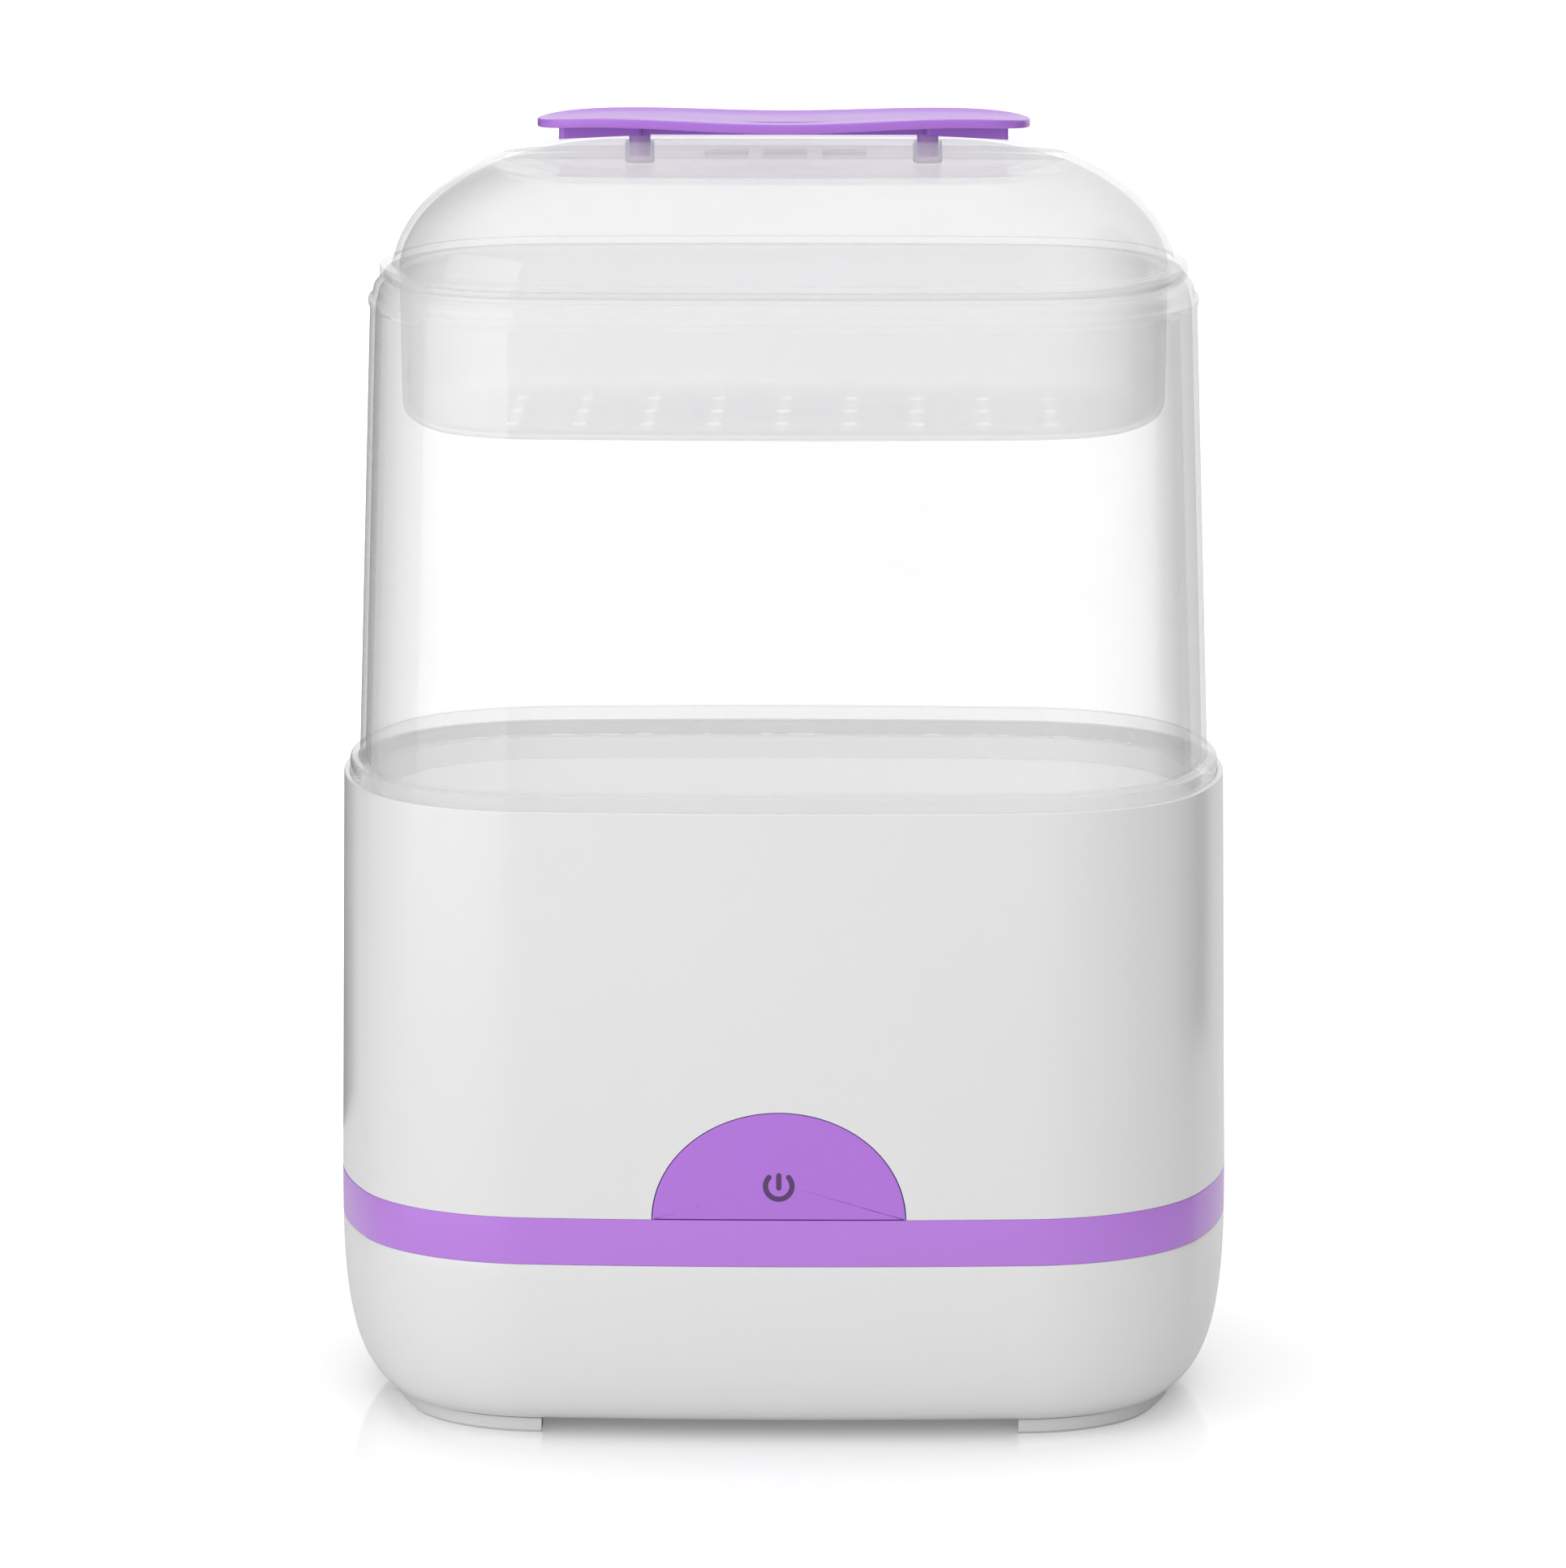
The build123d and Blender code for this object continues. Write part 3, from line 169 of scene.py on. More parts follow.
# Lid
DOME_TOP = LID_HIGH[2]
DOME_CENTRE = SLEEVE_TOP
DOME_INSET = 15.1
DOME_REACH = 60.0
LID_WALL = 1.8
LID_FLANGE = (11.8, 13.0)  # outside and inside
LID_FLANGE_TOP = DOME_TOP - 34.1
LID_UNDERSIDE = SLEEVE_TOP + 1.5
LID_LIP = 16.9
LID_FILLET = ((15.3, 0.0), (15.6, 4.0))    # inset and height over the flange where it turns up into the dome
LID_SMOOTH = 50.0
RIDGE_HALF = 10.0
RIDGE_BLEND = 0.9          # half the width over which the ridge's walls rise
SCOOP_DROP = (5.7, 7.5)
SCOOP_FRONT = 56.0
SCOOP_EDGE = 0.6           # rounding where a scoop meets the dome
VENT = (12.0, 2.6, 30.0)   # length, width and distance behind the middle
VENT_PLACES = (-16.0, 0.0, 16.0)
VENT_CUT = (14.0, 4.0)
POST_CUT = 4.0
BOSS_CUP = (2.9, 3.9)      # inside and outside radius
BOSS_CUP_BOTTOM = 334.0
BOSS_CUP_FLOOR = 335.6

# Handle
POST_X = 38.7
POST_RADIUS = 2.85
POST_HEIGHTS = (335.8, 343.0)
HANDLE_SHOULDER = (59.0, 17.0)
HANDLE_TURNS = (0.68, 0.7, 0.91)       # shares of the end and long arcs that stay outside the corner curves
HANDLE_STEPS = (8, 8, 32)
HANDLE_BELOW = (343.5, 344.8, 343.7)   # in the middle, at the crest and at the tips
HANDLE_ABOVE = (346.1, 347.2, 346.0)
HANDLE_CREST = 46.0
HANDLE_DISH = 1.15
STEM_WIDE = (38.0, 60.3, 6.0, 2.0)     # from x, to x, half depth and corner rounding
STEM_NARROW = (38.5, 3.0, 0.3)
STEM_LAP = 0.4
STEM_SEAT = 0.06


def corner_centre():
    """Centre of the corner arc in the +X +Y quarter, tangent to the front and side arcs."""
    front_centre = FRONT_RADIUS - HALF_DEPTH
    side_centre = SIDE_RADIUS - HALF_WIDTH
    to_front = FRONT_RADIUS - CORNER_RADIUS
    to_side = SIDE_RADIUS - CORNER_RADIUS
    apart = math.hypot(front_centre, side_centre)
    along = (to_front**2 - to_side**2 + apart**2) / (2 * apart)
    across = math.sqrt(to_front**2 - along**2)
    x = (-along * side_centre + across * front_centre) / apart
    y = -front_centre + (along * front_centre + across * side_centre) / apart
    return x, y


CORNER = corner_centre()
FRONT_TURN = math.atan2(CORNER[1] + FRONT_RADIUS - HALF_DEPTH, CORNER[0])
SIDE_TURN = math.atan2(CORNER[1], CORNER[0] + SIDE_RADIUS - HALF_WIDTH)


def quarter_arcs(inset):
    """Centre, radius, start and end turn of the arcs from the right side's middle to the back's middle."""
    return [
        ((HALF_WIDTH - SIDE_RADIUS, 0.0), SIDE_RADIUS - inset, 0.0, SIDE_TURN),
        (CORNER, CORNER_RADIUS - inset, SIDE_TURN, FRONT_TURN),
        ((0.0, HALF_DEPTH - FRONT_RADIUS), FRONT_RADIUS - inset, FRONT_TURN, math.pi / 2),
    ]


def quarter_points(inset):
    """Points of one quarter of the oval, the side's middle first and the back's middle last."""
    points = []
    counts = (SIDE_STEPS // 2, CORNER_STEPS, FRONT_STEPS // 2)
    for ((cx, cy), radius, start, end), steps in zip(quarter_arcs(inset), counts):
        for k in range(steps):
            turn = start + (end - start) * k / steps
            points.append((cx + radius * math.cos(turn), cy + radius * math.sin(turn)))
    points.append((0.0, HALF_DEPTH - inset))
    return points


def mirrored_loop(quarter):
    """A closed loop from one quarter that starts on +X and ends on +Y."""
    back_left = [(-x, y) for x, y in reversed(quarter[:-1])]
    front_left = [(-x, -y) for x, y in quarter[1:]]
    front_right = [(x, -y) for x, y in reversed(quarter[1:-1])]
    return quarter + back_left + front_left + front_right


def oval_loop(inset):
    return mirrored_loop(quarter_points(inset))


def bowl_points(radii, start, end, steps):
    """Points on the pan's squarish quarter in section; its side is at 0 degrees and its bottom at 90."""
    points = []
    for k in range(steps + 1):
        turn = math.radians(start + (end - start) * k / steps)
        across = radii[0] * abs(math.cos(turn)) ** (2 / BOWL_POWER)
        down = radii[1] * math.sin(turn) ** (2 / BOWL_POWER)
        points.append((BOWL_CENTRE[0] - across, BOWL_CENTRE[1] - down))
    return points


def bowl_turn(radii, height):
    """The turn in degrees at which the pan's quarter reaches a height."""
    return math.degrees(math.asin(((BOWL_CENTRE[1] - height) / radii[1]) ** (BOWL_POWER / 2)))


def soften(corners, closed=True, steps=4):
    """Rounds a section's corners. Each corner is (inset, height, radius)."""
    count = len(corners)
    points = []
    for k, (x, y, radius) in enumerate(corners):
        if radius == 0 or (not closed and k in (0, count - 1)):
            points.append((x, y))
            continue
        here = Vector((x, y))
        before = Vector(corners[k - 1][:2]) - here
        after = Vector(corners[(k + 1) % count][:2]) - here
        half = before.angle(after) / 2
        reach = min(radius / math.tan(half), 0.48 * before.length, 0.48 * after.length)
        start = here + before.normalized() * reach
        end = here + after.normalized() * reach
        for step in range(steps + 1):
            t = step / steps
            p = start * (1 - t) ** 2 + here * 2 * t * (1 - t) + end * t**2
            points.append((p.x, p.y))
    return points


# ---- Mesh building --------------------------------------------------------------------------------


def new_piece(name, verts, faces, body, replaces=(), slot=None, smooth_angle=38.0):
    """A mesh piece from millimetre vertices, facing outwards, that rides on a body."""
    mesh = bpy.data.meshes.new(name)
    mesh.from_pydata([[c * MM for c in v] for v in verts], [], faces)
    built = bmesh.new()
    built.from_mesh(mesh)
    bmesh.ops.remove_doubles(built, verts=built.verts, dist=1e-6)
    bmesh.ops.recalc_face_normals(built, faces=built.faces)
    built.to_mesh(mesh)
    built.free()
    smooth(mesh, smooth_angle)
    piece = bpy.data.objects.new(name, mesh)
    bpy.context.scene.collection.objects.link(piece)
    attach(piece, body)
    if replaces:
        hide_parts(*replaces)
    return piece


def smooth(mesh, angle):
    """Smooth shading, kept sharp across edges steeper than an angle in degrees."""
    mesh.polygons.foreach_set("use_smooth", [True] * len(mesh.polygons))
    mesh.set_sharp_from_angle(angle=math.radians(angle))


def bridge(loops, start=0, closed=False):
    """Quads between neighbouring loops of equal length, numbered from start."""
    size = len(loops[0])
    faces = []
    pairs = len(loops) if closed else len(loops) - 1
    for row in range(pairs):
        low = start + row * size
        high = start + ((row + 1) % len(loops)) * size
        for k in range(size):
            after = (k + 1) % size
            faces.append((low + k, low + after, high + after, high + k))
    return faces


def skinned(loops, closed=False):
    """Loops joined by quads. An open run gets a flat cap at each end."""
    faces = bridge(loops, closed=closed)
    if not closed:
        size = len(loops[0])
        last = (len(loops) - 1) * size
        faces += [tuple(range(size)), tuple(range(last, last + size))]
    return [v for loop in loops for v in loop], faces


def swept(section, closed=True):
    """A section swept round the oval."""
    return skinned([[(x, y, height) for x, y in oval_loop(inset)] for inset, height in section], closed)


def lathed(section, x, y, steps=40, closed=True):
    """A (radius, height) section turned about an upright axis through x, y."""
    loops = []
    for radius, height in section:
        turns = [2 * math.pi * k / steps for k in range(steps)]
        loops.append([(x + radius * math.cos(t), y + radius * math.sin(t), height) for t in turns])
    return skinned(loops, closed)


def prism(outline, low, high, place):
    """A flat outline extruded from low to high; place turns (u, v, w) into (x, y, z)."""
    return skinned([[place(u, v, w) for u, v in outline] for w in (low, high)])


def merged(*meshes):
    """Several (vertices, faces) pairs as one."""
    verts, faces = [], []
    for some, quads in meshes:
        faces += [tuple(len(verts) + i for i in face) for face in quads]
        verts += some
    return verts, faces


def upright(u, v, w):
    return u, v, w


def from_front(u, v, w):
    return u, w, v


def slot_outline(length, width, x, y, along_y=True, steps=8):
    """A round-ended slot."""
    reach, radius = (length - width) / 2, width / 2
    points = []
    for end in (1, -1):
        for k in range(steps + 1):
            turn = math.pi * k / steps + (0 if end == 1 else math.pi)
            points.append((radius * math.cos(turn), end * reach + radius * math.sin(turn)))
    return [(x + u, y + v) if along_y else (x + v, y + u) for u, v in points]


def circle_outline(radius, x, y, steps=40):
    turns = [2 * math.pi * k / steps for k in range(steps)]
    return [(x + radius * math.cos(t), y + radius * math.sin(t)) for t in turns]


def box_outline(half, x=0.0, y=0.0):
    """A rectangle from its half sizes."""
    turns = [(-1, -1), (1, -1), (1, 1), (-1, 1)]
    return [(x + side * half[0], y + end * half[1]) for side, end in turns]


def cut(piece, verts, faces, smooth_angle=38.0):
    """Takes a solid out of a piece and keeps its smooth shading."""
    mesh = bpy.data.meshes.new("cutter")
    mesh.from_pydata([[c * MM for c in v] for v in verts], [], faces)
    built = bmesh.new()
    built.from_mesh(mesh)
    bmesh.ops.recalc_face_normals(built, faces=built.faces)
    built.to_mesh(mesh)
    built.free()
    cutter = bpy.data.objects.new("cutter", mesh)
    bpy.context.scene.collection.objects.link(cutter)
    modifier = piece.modifiers.new("cut", "BOOLEAN")
    modifier.object = cutter
    modifier.solver = "EXACT"
    modifier.use_hole_tolerant = True
    depsgraph = bpy.context.evaluated_depsgraph_get()
    result = bpy.data.meshes.new_from_object(piece.evaluated_get(depsgraph))
    piece.modifiers.clear()
    piece.data = result
    bpy.data.objects.remove(cutter)
    smooth(piece.data, smooth_angle)


# ---- Materials ------------------------------------------------------------------------------------


class Shader:
    """A material's node tree with short calls for the nodes used here."""

    def __init__(self, name):
        self.material = bpy.data.materials.new(name)
        self.material.use_nodes = True
        self.tree = self.material.node_tree
        self.bsdf = self.tree.nodes["Principled BSDF"]
        self.output = self.tree.nodes["Material Output"]

    def node(self, kind, **values):
        made = self.tree.nodes.new(kind)
        for key, value in values.items():
            if key in made.inputs:
                made.inputs[key].default_value = value
            else:
                setattr(made, key, value)
        return made

    def link(self, source, target):
        self.tree.links.new(source, target)

    def position(self):
        return self.node("ShaderNodeTexCoord").outputs["Object"]

    def noise(self, scale, detail=3.0, vector=None):
        made = self.node("ShaderNodeTexNoise", Scale=scale, Detail=detail)
        self.link(vector or self.position(), made.inputs["Vector"])
        return made.outputs["Fac"]

    def spread(self, value, low, high, start=0.3, end=0.7):
        """Maps a 0..1 value to low..high."""
        made = self.node("ShaderNodeMapRange")
        made.inputs["From Min"].default_value = start
        made.inputs["From Max"].default_value = end
        made.inputs["To Min"].default_value = low
        made.inputs["To Max"].default_value = high
        self.link(value, made.inputs["Value"])
        return made.outputs["Result"]

    def maths(self, operation, first, second):
        """One maths node; each side is a number or another node's output."""
        made = self.node("ShaderNodeMath", operation=operation)
        for socket, value in zip(made.inputs, (first, second)):
            if isinstance(value, (int, float)):
                socket.default_value = value
            else:
                self.link(value, socket)
        return made.outputs[0]

    def blend_colours(self, value, first, second):
        made = self.node("ShaderNodeMix", data_type="RGBA")
        made.inputs[6].default_value = (*first, 1)
        made.inputs[7].default_value = (*second, 1)
        self.link(value, made.inputs[0])
        return made.outputs[2]

    def bump(self, height, distance, strength=1.0):
        made = self.node("ShaderNodeBump", Distance=distance, Strength=strength)
        self.link(height, made.inputs["Height"])
        self.link(made.outputs["Normal"], self.bsdf.inputs["Normal"])
        return made.outputs["Normal"]


def tint(colour, share):
    """A colour made a little lighter or darker."""
    return tuple(min(1.0, c * share) for c in colour)


FINE_GRAIN = (0.000012, 1400.0)        # depth and scale of the surface ripple


def plastic(name, colour, roughness, variation, grain=FINE_GRAIN, light_through=0.0, painted_glow=0.0):
    """Moulded plastic: faint flow marks in the colour, uneven gloss and a very fine surface ripple.

    light_through softens the shading. The last argument is a painted glow: an emission in the plastic's own
    colour that paints light onto a part which the lamps leave too dark.
    """
    s = Shader(name)
    flow = s.blend_colours(s.noise(14.0, 4.0), tint(colour, 1 - variation), tint(colour, 1 + variation))
    s.link(flow, s.bsdf.inputs["Base Color"])
    s.link(s.spread(s.noise(60.0, 5.0), roughness * 0.92, roughness * 1.1), s.bsdf.inputs["Roughness"])
    s.bump(s.noise(grain[1], 2.0), grain[0], 0.6)
    s.bsdf.inputs["IOR"].default_value = 1.49
    if light_through:
        s.bsdf.inputs["Subsurface Weight"].default_value = light_through
        s.bsdf.inputs["Subsurface Radius"].default_value = (0.004, 0.004, 0.004)
        s.bsdf.inputs["Subsurface Scale"].default_value = 0.5
    # Painted glow: emission that brightens the part as though more light reached it
    if painted_glow:
        s.bsdf.inputs["Emission Color"].default_value = (*colour, 1)
        s.bsdf.inputs["Emission Strength"].default_value = painted_glow
    return s.material


def metal(name, colour, roughness=0.3, rings=0.0):
    """Bright metal, with turning marks round the axis when rings is set."""
    s = Shader(name)
    s.bsdf.inputs["Metallic"].default_value = 1.0
    patches = s.blend_colours(s.noise(90.0, 4.0), tint(colour, 0.92), tint(colour, 1.06))
    s.link(patches, s.bsdf.inputs["Base Color"])
    s.link(s.spread(s.noise(220.0, 4.0), roughness * 0.8, roughness * 1.3), s.bsdf.inputs["Roughness"])
    if rings:
        wave = s.node("ShaderNodeTexWave", wave_type="RINGS", rings_direction="Z")
        wave.inputs["Scale"].default_value = rings
        wave.inputs["Distortion"].default_value = 0.4
        s.link(s.position(), wave.inputs["Vector"])
        s.bump(wave.outputs["Fac"], 0.00003, 0.5)
    else:
        s.bump(s.noise(900.0, 3.0), 0.00002, 0.5)
    return s.material


DENSE_POWER = 2.2          # how fast clear plastic thickens towards grazing angles
MIRROR_POWER = 5.0
MIRROR_FACE_ON = 0.03
CLOUD = 0.015
SHADOW_SHARE = 0.03
BOUNCE_SHARE = 0.3
THICK_HAZE = 0.16          # how much cloudier the sleeve's solid foot flange is than its wall


def clear_plastic(name, colour, face_share, edge_share, roughness=0.06, mirror=0.4, thick=None):
    """Clear plastic a little cloudy: nearly see-through face on, denser at grazing angles and where thick.

    The shares say how much of the surface shows its own colour. mirror is the reflection at grazing angles.
    It lets most light through in shadows and bounces, as thin clear walls do.
    """
    s = Shader(name)
    facing = s.node("ShaderNodeLayerWeight", Blend=0.5).outputs["Facing"]
    dense = s.spread(s.maths("POWER", facing, DENSE_POWER), face_share, edge_share, 0.0, 1.0)
    if thick:
        low, high = (height * MM for height in thick)
        axes = s.node("ShaderNodeSeparateXYZ")
        s.link(s.position(), axes.inputs[0])
        below_top = s.spread(axes.outputs["Z"], THICK_HAZE, 0.0, high - MM, high)
        above_bottom = s.maths("GREATER_THAN", axes.outputs["Z"], low)
        dense = s.maths("ADD", dense, s.maths("MULTIPLY", below_top, above_bottom))
    cloudy = s.maths("ADD", dense, s.spread(s.noise(18.0, 3.0), -CLOUD, CLOUD))
    path = s.node("ShaderNodeLightPath")
    in_shadow = s.spread(path.outputs["Is Shadow Ray"], 1.0, SHADOW_SHARE, 0.0, 1.0)
    in_bounce = s.spread(path.outputs["Is Diffuse Ray"], 1.0, BOUNCE_SHARE, 0.0, 1.0)
    share = s.maths("MULTIPLY", cloudy, s.maths("MULTIPLY", in_shadow, in_bounce))
    patches = s.blend_colours(s.noise(30.0, 3.0), tint(colour, 0.985), tint(colour, 1.015))
    s.link(patches, s.bsdf.inputs["Base Color"])
    s.link(s.spread(s.noise(45.0, 4.0), roughness * 0.8, roughness * 1.5), s.bsdf.inputs["Roughness"])
    s.bsdf.inputs["IOR"].default_value = 1.3
    ripple = s.bump(s.noise(26.0, 2.0), 0.0002, 0.05)

    clear = s.node("ShaderNodeBsdfTransparent")
    body = s.node("ShaderNodeMixShader")
    s.link(share, body.inputs[0])
    s.link(clear.outputs[0], body.inputs[1])
    s.link(s.bsdf.outputs[0], body.inputs[2])

    shine = s.node("ShaderNodeBsdfGlossy", Roughness=roughness)
    s.link(ripple, shine.inputs["Normal"])
    glaze = s.node("ShaderNodeMixShader")
    glancing = s.maths("POWER", facing, MIRROR_POWER)
    s.link(s.spread(glancing, MIRROR_FACE_ON, mirror, 0.0, 1.0), glaze.inputs[0])
    s.link(body.outputs[0], glaze.inputs[1])
    s.link(shine.outputs[0], glaze.inputs[2])
    s.link(glaze.outputs[0], s.output.inputs["Surface"])
    return s.material


WHITE = (0.80, 0.80, 0.805)
PURPLE_BAND = (0.50, 0.215, 0.755)
PURPLE_BUTTON = (0.465, 0.185, 0.74)
PURPLE_HANDLE = (0.45, 0.185, 0.72)


# Finishes by the record's slots: colour, roughness, unevenness, then grain, light through and painted glow
PLASTICS = {
    "white_casing": (WHITE, 0.20, 0.008),
    "purple_trim": (PURPLE_BAND, 0.22, 0.02),
    "purple_button": (PURPLE_BUTTON, 0.30, 0.006),
    "purple_handle": (PURPLE_HANDLE, 0.22, 0.03, FINE_GRAIN, 0.25),
    "symbol_ink": ((0.10, 0.042, 0.15), 0.4, 0.04),
    "foot_plastic": ((0.76, 0.76, 0.765), 0.42, 0.02, (0.00003, 900.0)),
    # Painted light: the tub's white is lighter than the casing's and carries a painted glow, to brighten its
    # inside, which the lamps barely reach through the clear sleeve
    "tub_plastic": ((0.88, 0.88, 0.885), 0.35, 0.012, FINE_GRAIN, 0.0, 0.17),
    "board_laminate": ((0.02, 0.20, 0.07), 0.35, 0.15),
    "switch_housing": ((0.02, 0.02, 0.02), 0.4, 0.1),
    "plunger_plastic": ((0.75, 0.72, 0.62), 0.35, 0.03),
    "lamp_lens": ((0.75, 0.85, 1.0), 0.15, 0.02),
    "relay_case": ((0.015, 0.03, 0.09), 0.3, 0.08),
    "terminal_plastic": ((0.03, 0.24, 0.08), 0.35, 0.08),
    "silicone_rubber": ((0.62, 0.58, 0.54), 0.6, 0.04, (0.00004, 600.0)),
    "fuse_sleeve": ((0.8, 0.77, 0.68), 0.7, 0.08, (0.0001, 500.0)),
    "inlet_plastic": ((0.018, 0.018, 0.018), 0.42, 0.15, (0.00003, 900.0)),
    "live_insulation": ((0.12, 0.045, 0.02), 0.45, 0.05),
    "neutral_insulation": ((0.02, 0.07, 0.38), 0.45, 0.05),
    "earth_insulation": ((0.16, 0.38, 0.04), 0.45, 0.05),
    "heater_insulation": ((0.72, 0.72, 0.7), 0.55, 0.04),
    "rack_plastic": ((0.72, 0.72, 0.725), 0.32, 0.015),
}
# Colour, roughness and turning marks
METALS = {
    "screw_steel": ((0.62, 0.62, 0.64), 0.3),
    "heater_aluminium": ((0.8, 0.8, 0.81), 0.28, 160.0),
    "element_steel": ((0.42, 0.38, 0.35), 0.4),
    "clamp_steel": ((0.6, 0.6, 0.61), 0.32),
    "thermostat_can": ((0.66, 0.66, 0.67), 0.25),
    "pin_brass": ((0.75, 0.62, 0.34), 0.22),
}
# Colour, shares face on and at the edge, then roughness, reflection and thick zone
CLEAR_PLASTICS = {
    "clear_sleeve_plastic": ((0.78, 0.78, 0.785), 0.13, 0.45, 0.06, 0.4, (166.0, 175.0)),
    "milky_tray_plastic": ((0.92, 0.92, 0.925), 0.27, 0.46, 0.3, 0.2),
    "clear_lid_plastic": ((0.64, 0.64, 0.645), 0.18, 0.34, 0.06, 0.14),
    "lid_boss_plastic": ((0.78, 0.78, 0.785), 0.34, 0.60),
}


def material_library():
    """Every material by name."""
    materials = {name: plastic(name, *finish) for name, finish in PLASTICS.items()}
    materials |= {name: metal(name, *finish) for name, finish in METALS.items()}
    materials |= {name: clear_plastic(name, *finish) for name, finish in CLEAR_PLASTICS.items()}
    return materials


# ---- Base -----------------------------------------------------------------------------------------


def bowl_section():
    """The pan's section from the middle of its underside, up round the rim and down to its inner floor."""
    floor = PAN_LOW[2]
    inner_radii = (BOWL_RADII[0] - WALL, BOWL_RADII[1] - WALL)
    outside = bowl_points(BOWL_RADII, 90, bowl_turn(BOWL_RADII, BAND_BOTTOM), BOWL_STEPS[0])
    inside = bowl_points(inner_radii, bowl_turn(inner_radii, PAN_INNER_TOP), 90, BOWL_STEPS[1])
    edge_x, edge_z = outside[-1]
    trimmed = [p for p in outside if p[1] < edge_z - EDGE]
    lip = [(edge_x + EDGE * across, edge_z - EDGE * down) for across, down in PAN_LIP]
    tongue = soften([
        (TONGUE[0], BAND_BOTTOM, 0),
        (TONGUE[0], PAN_TONGUE[1], EDGE),
        (TONGUE[1], PAN_TONGUE[1], EDGE),
        (TONGUE[1], PAN_TONGUE[0], 0),
    ], closed=False)
    return [(CORE_INSET, floor)] + trimmed + lip + tongue + inside + [(CORE_INSET, floor + WALL)]


def screw_places():
    """Centres of the case screws, from their CAD box."""
    low, high = extent("case_screws")
    x, y = ((high[axis] - low[axis]) / 2 - SCREW_HEAD_RADIUS for axis in (0, 1))
    return [(sx * x, sy * y) for sx in (-1, 1) for sy in (-1, 1)]


def inlet_height():
    return (INLET_LOW[2] + INLET_HIGH[2]) / 2


def inlet_frame():
    """The pocket in the pan's back that the mains inlet sits in: four walls and a floor with a window."""
    z = inlet_height()
    outer, pocket, window = (box_outline(half, 0, z) for half in (INLET_RIM, INLET_POCKET, INLET_WINDOW))
    face = INLET_HIGH[1] - INLET_FACE
    rim = HALF_DEPTH - INLET_RIM_INSET
    back = face - WALL
    rings = [(outer, rim), (outer, back), (window, back), (window, face), (pocket, face), (pocket, rim)]
    loops = [[(u, y, v) for u, v in points] for points, y in rings]
    return skinned(loops, closed=True)


def screw_boss(x, y):
    """A hollow boss round a case screw, with a seat for its head."""
    floor = PAN_LOW[2] + WALL
    section = [
        (BOSS_RADIUS, floor),
        (BOSS_RADIUS, BOSS_TOP),
        (SCREW_HOLE_RADIUS, BOSS_TOP),
        (SCREW_HOLE_RADIUS, SCREW_SEAT),
        (SCREW_WELL_RADIUS, SCREW_SEAT),
        (SCREW_WELL_RADIUS, floor),
    ]
    return lathed(section, x, y)


def make_bottom_pan(materials):
    verts, faces = swept(bowl_section(), closed=False)
    pan = new_piece("pan_shell", verts, faces, "base", ["bottom_pan"], "white_casing")
    low, high = PAN_LOW[2] - PAST, PAN_LOW[2] + WALL + PAST
    cutters = []
    for row in COOLING_ROWS:
        for step in COOLING_STEPS:
            cutters.append(prism(slot_outline(*COOLING_SLOT, step * COOLING_PITCH, row), low, high, upright))
    for x, y in screw_places():
        cutters.append(prism(circle_outline(SCREW_WELL_RADIUS, x, y), low, high, upright))
    pocket = box_outline(INLET_POCKET, 0, inlet_height())
    cutters.append(prism(pocket, HALF_DEPTH - INLET_CUT[0], HALF_DEPTH + INLET_CUT[1], from_front))
    cut(pan, *merged(*cutters))
    pan.data.materials.append(materials["white_casing"])
    details = [inlet_frame()] + [screw_boss(x, y) for x, y in screw_places()]
    inner = new_piece("pan_bosses", *merged(*details), "base", ["bottom_pan"], "white_casing")
    inner.data.materials.append(materials["white_casing"])


def moon_outline(growth, bottom):
    """The half-moon of the power button, in x and height."""
    low, high = extent("power_button")
    wide = (high[0] - low[0]) / 2 - BUTTON_FLANGE_GROWTH + growth
    tall = high[2] - BUTTON_FLANGE_GROWTH - BAND_TOP + growth
    turns = [math.pi * k / MOON_STEPS for k in range(MOON_STEPS + 1)]
    arch = [(wide * math.cos(turn), BAND_TOP + tall * math.sin(turn)) for turn in turns]
    return arch + [(wide * (2 * k / MOON_FOOT_STEPS - 1), bottom) for k in range(MOON_FOOT_STEPS + 1)]


def front_face(x, z, depth):
    """Depth below the shell's front at x and height z, as a place in space."""
    inset = SHELL_DRAFT * (z - BAND_TOP) / (SHELL_TOP - BAND_TOP)
    radius = FRONT_RADIUS - inset
    return x, inset - HALF_DEPTH + radius - math.sqrt(radius**2 - x**2) + depth, z


def button_loop(growth, depth, closing=0.0, scale=1.0):
    """A ring of the cap: the half-moon grown, drawn in from its rim, shrunk and set below the shell."""
    bottom = BAND_TOP + BUTTON_GAP - min(growth + BUTTON_GAP, 0.0)
    middle = BAND_TOP + BUTTON_MIDDLE
    points = []
    for x, z in moon_outline(growth, bottom):
        keep = scale * (1 - closing / math.hypot(x, z - middle))
        points.append(front_face(x * keep, middle + (z - middle) * keep, depth))
    return points


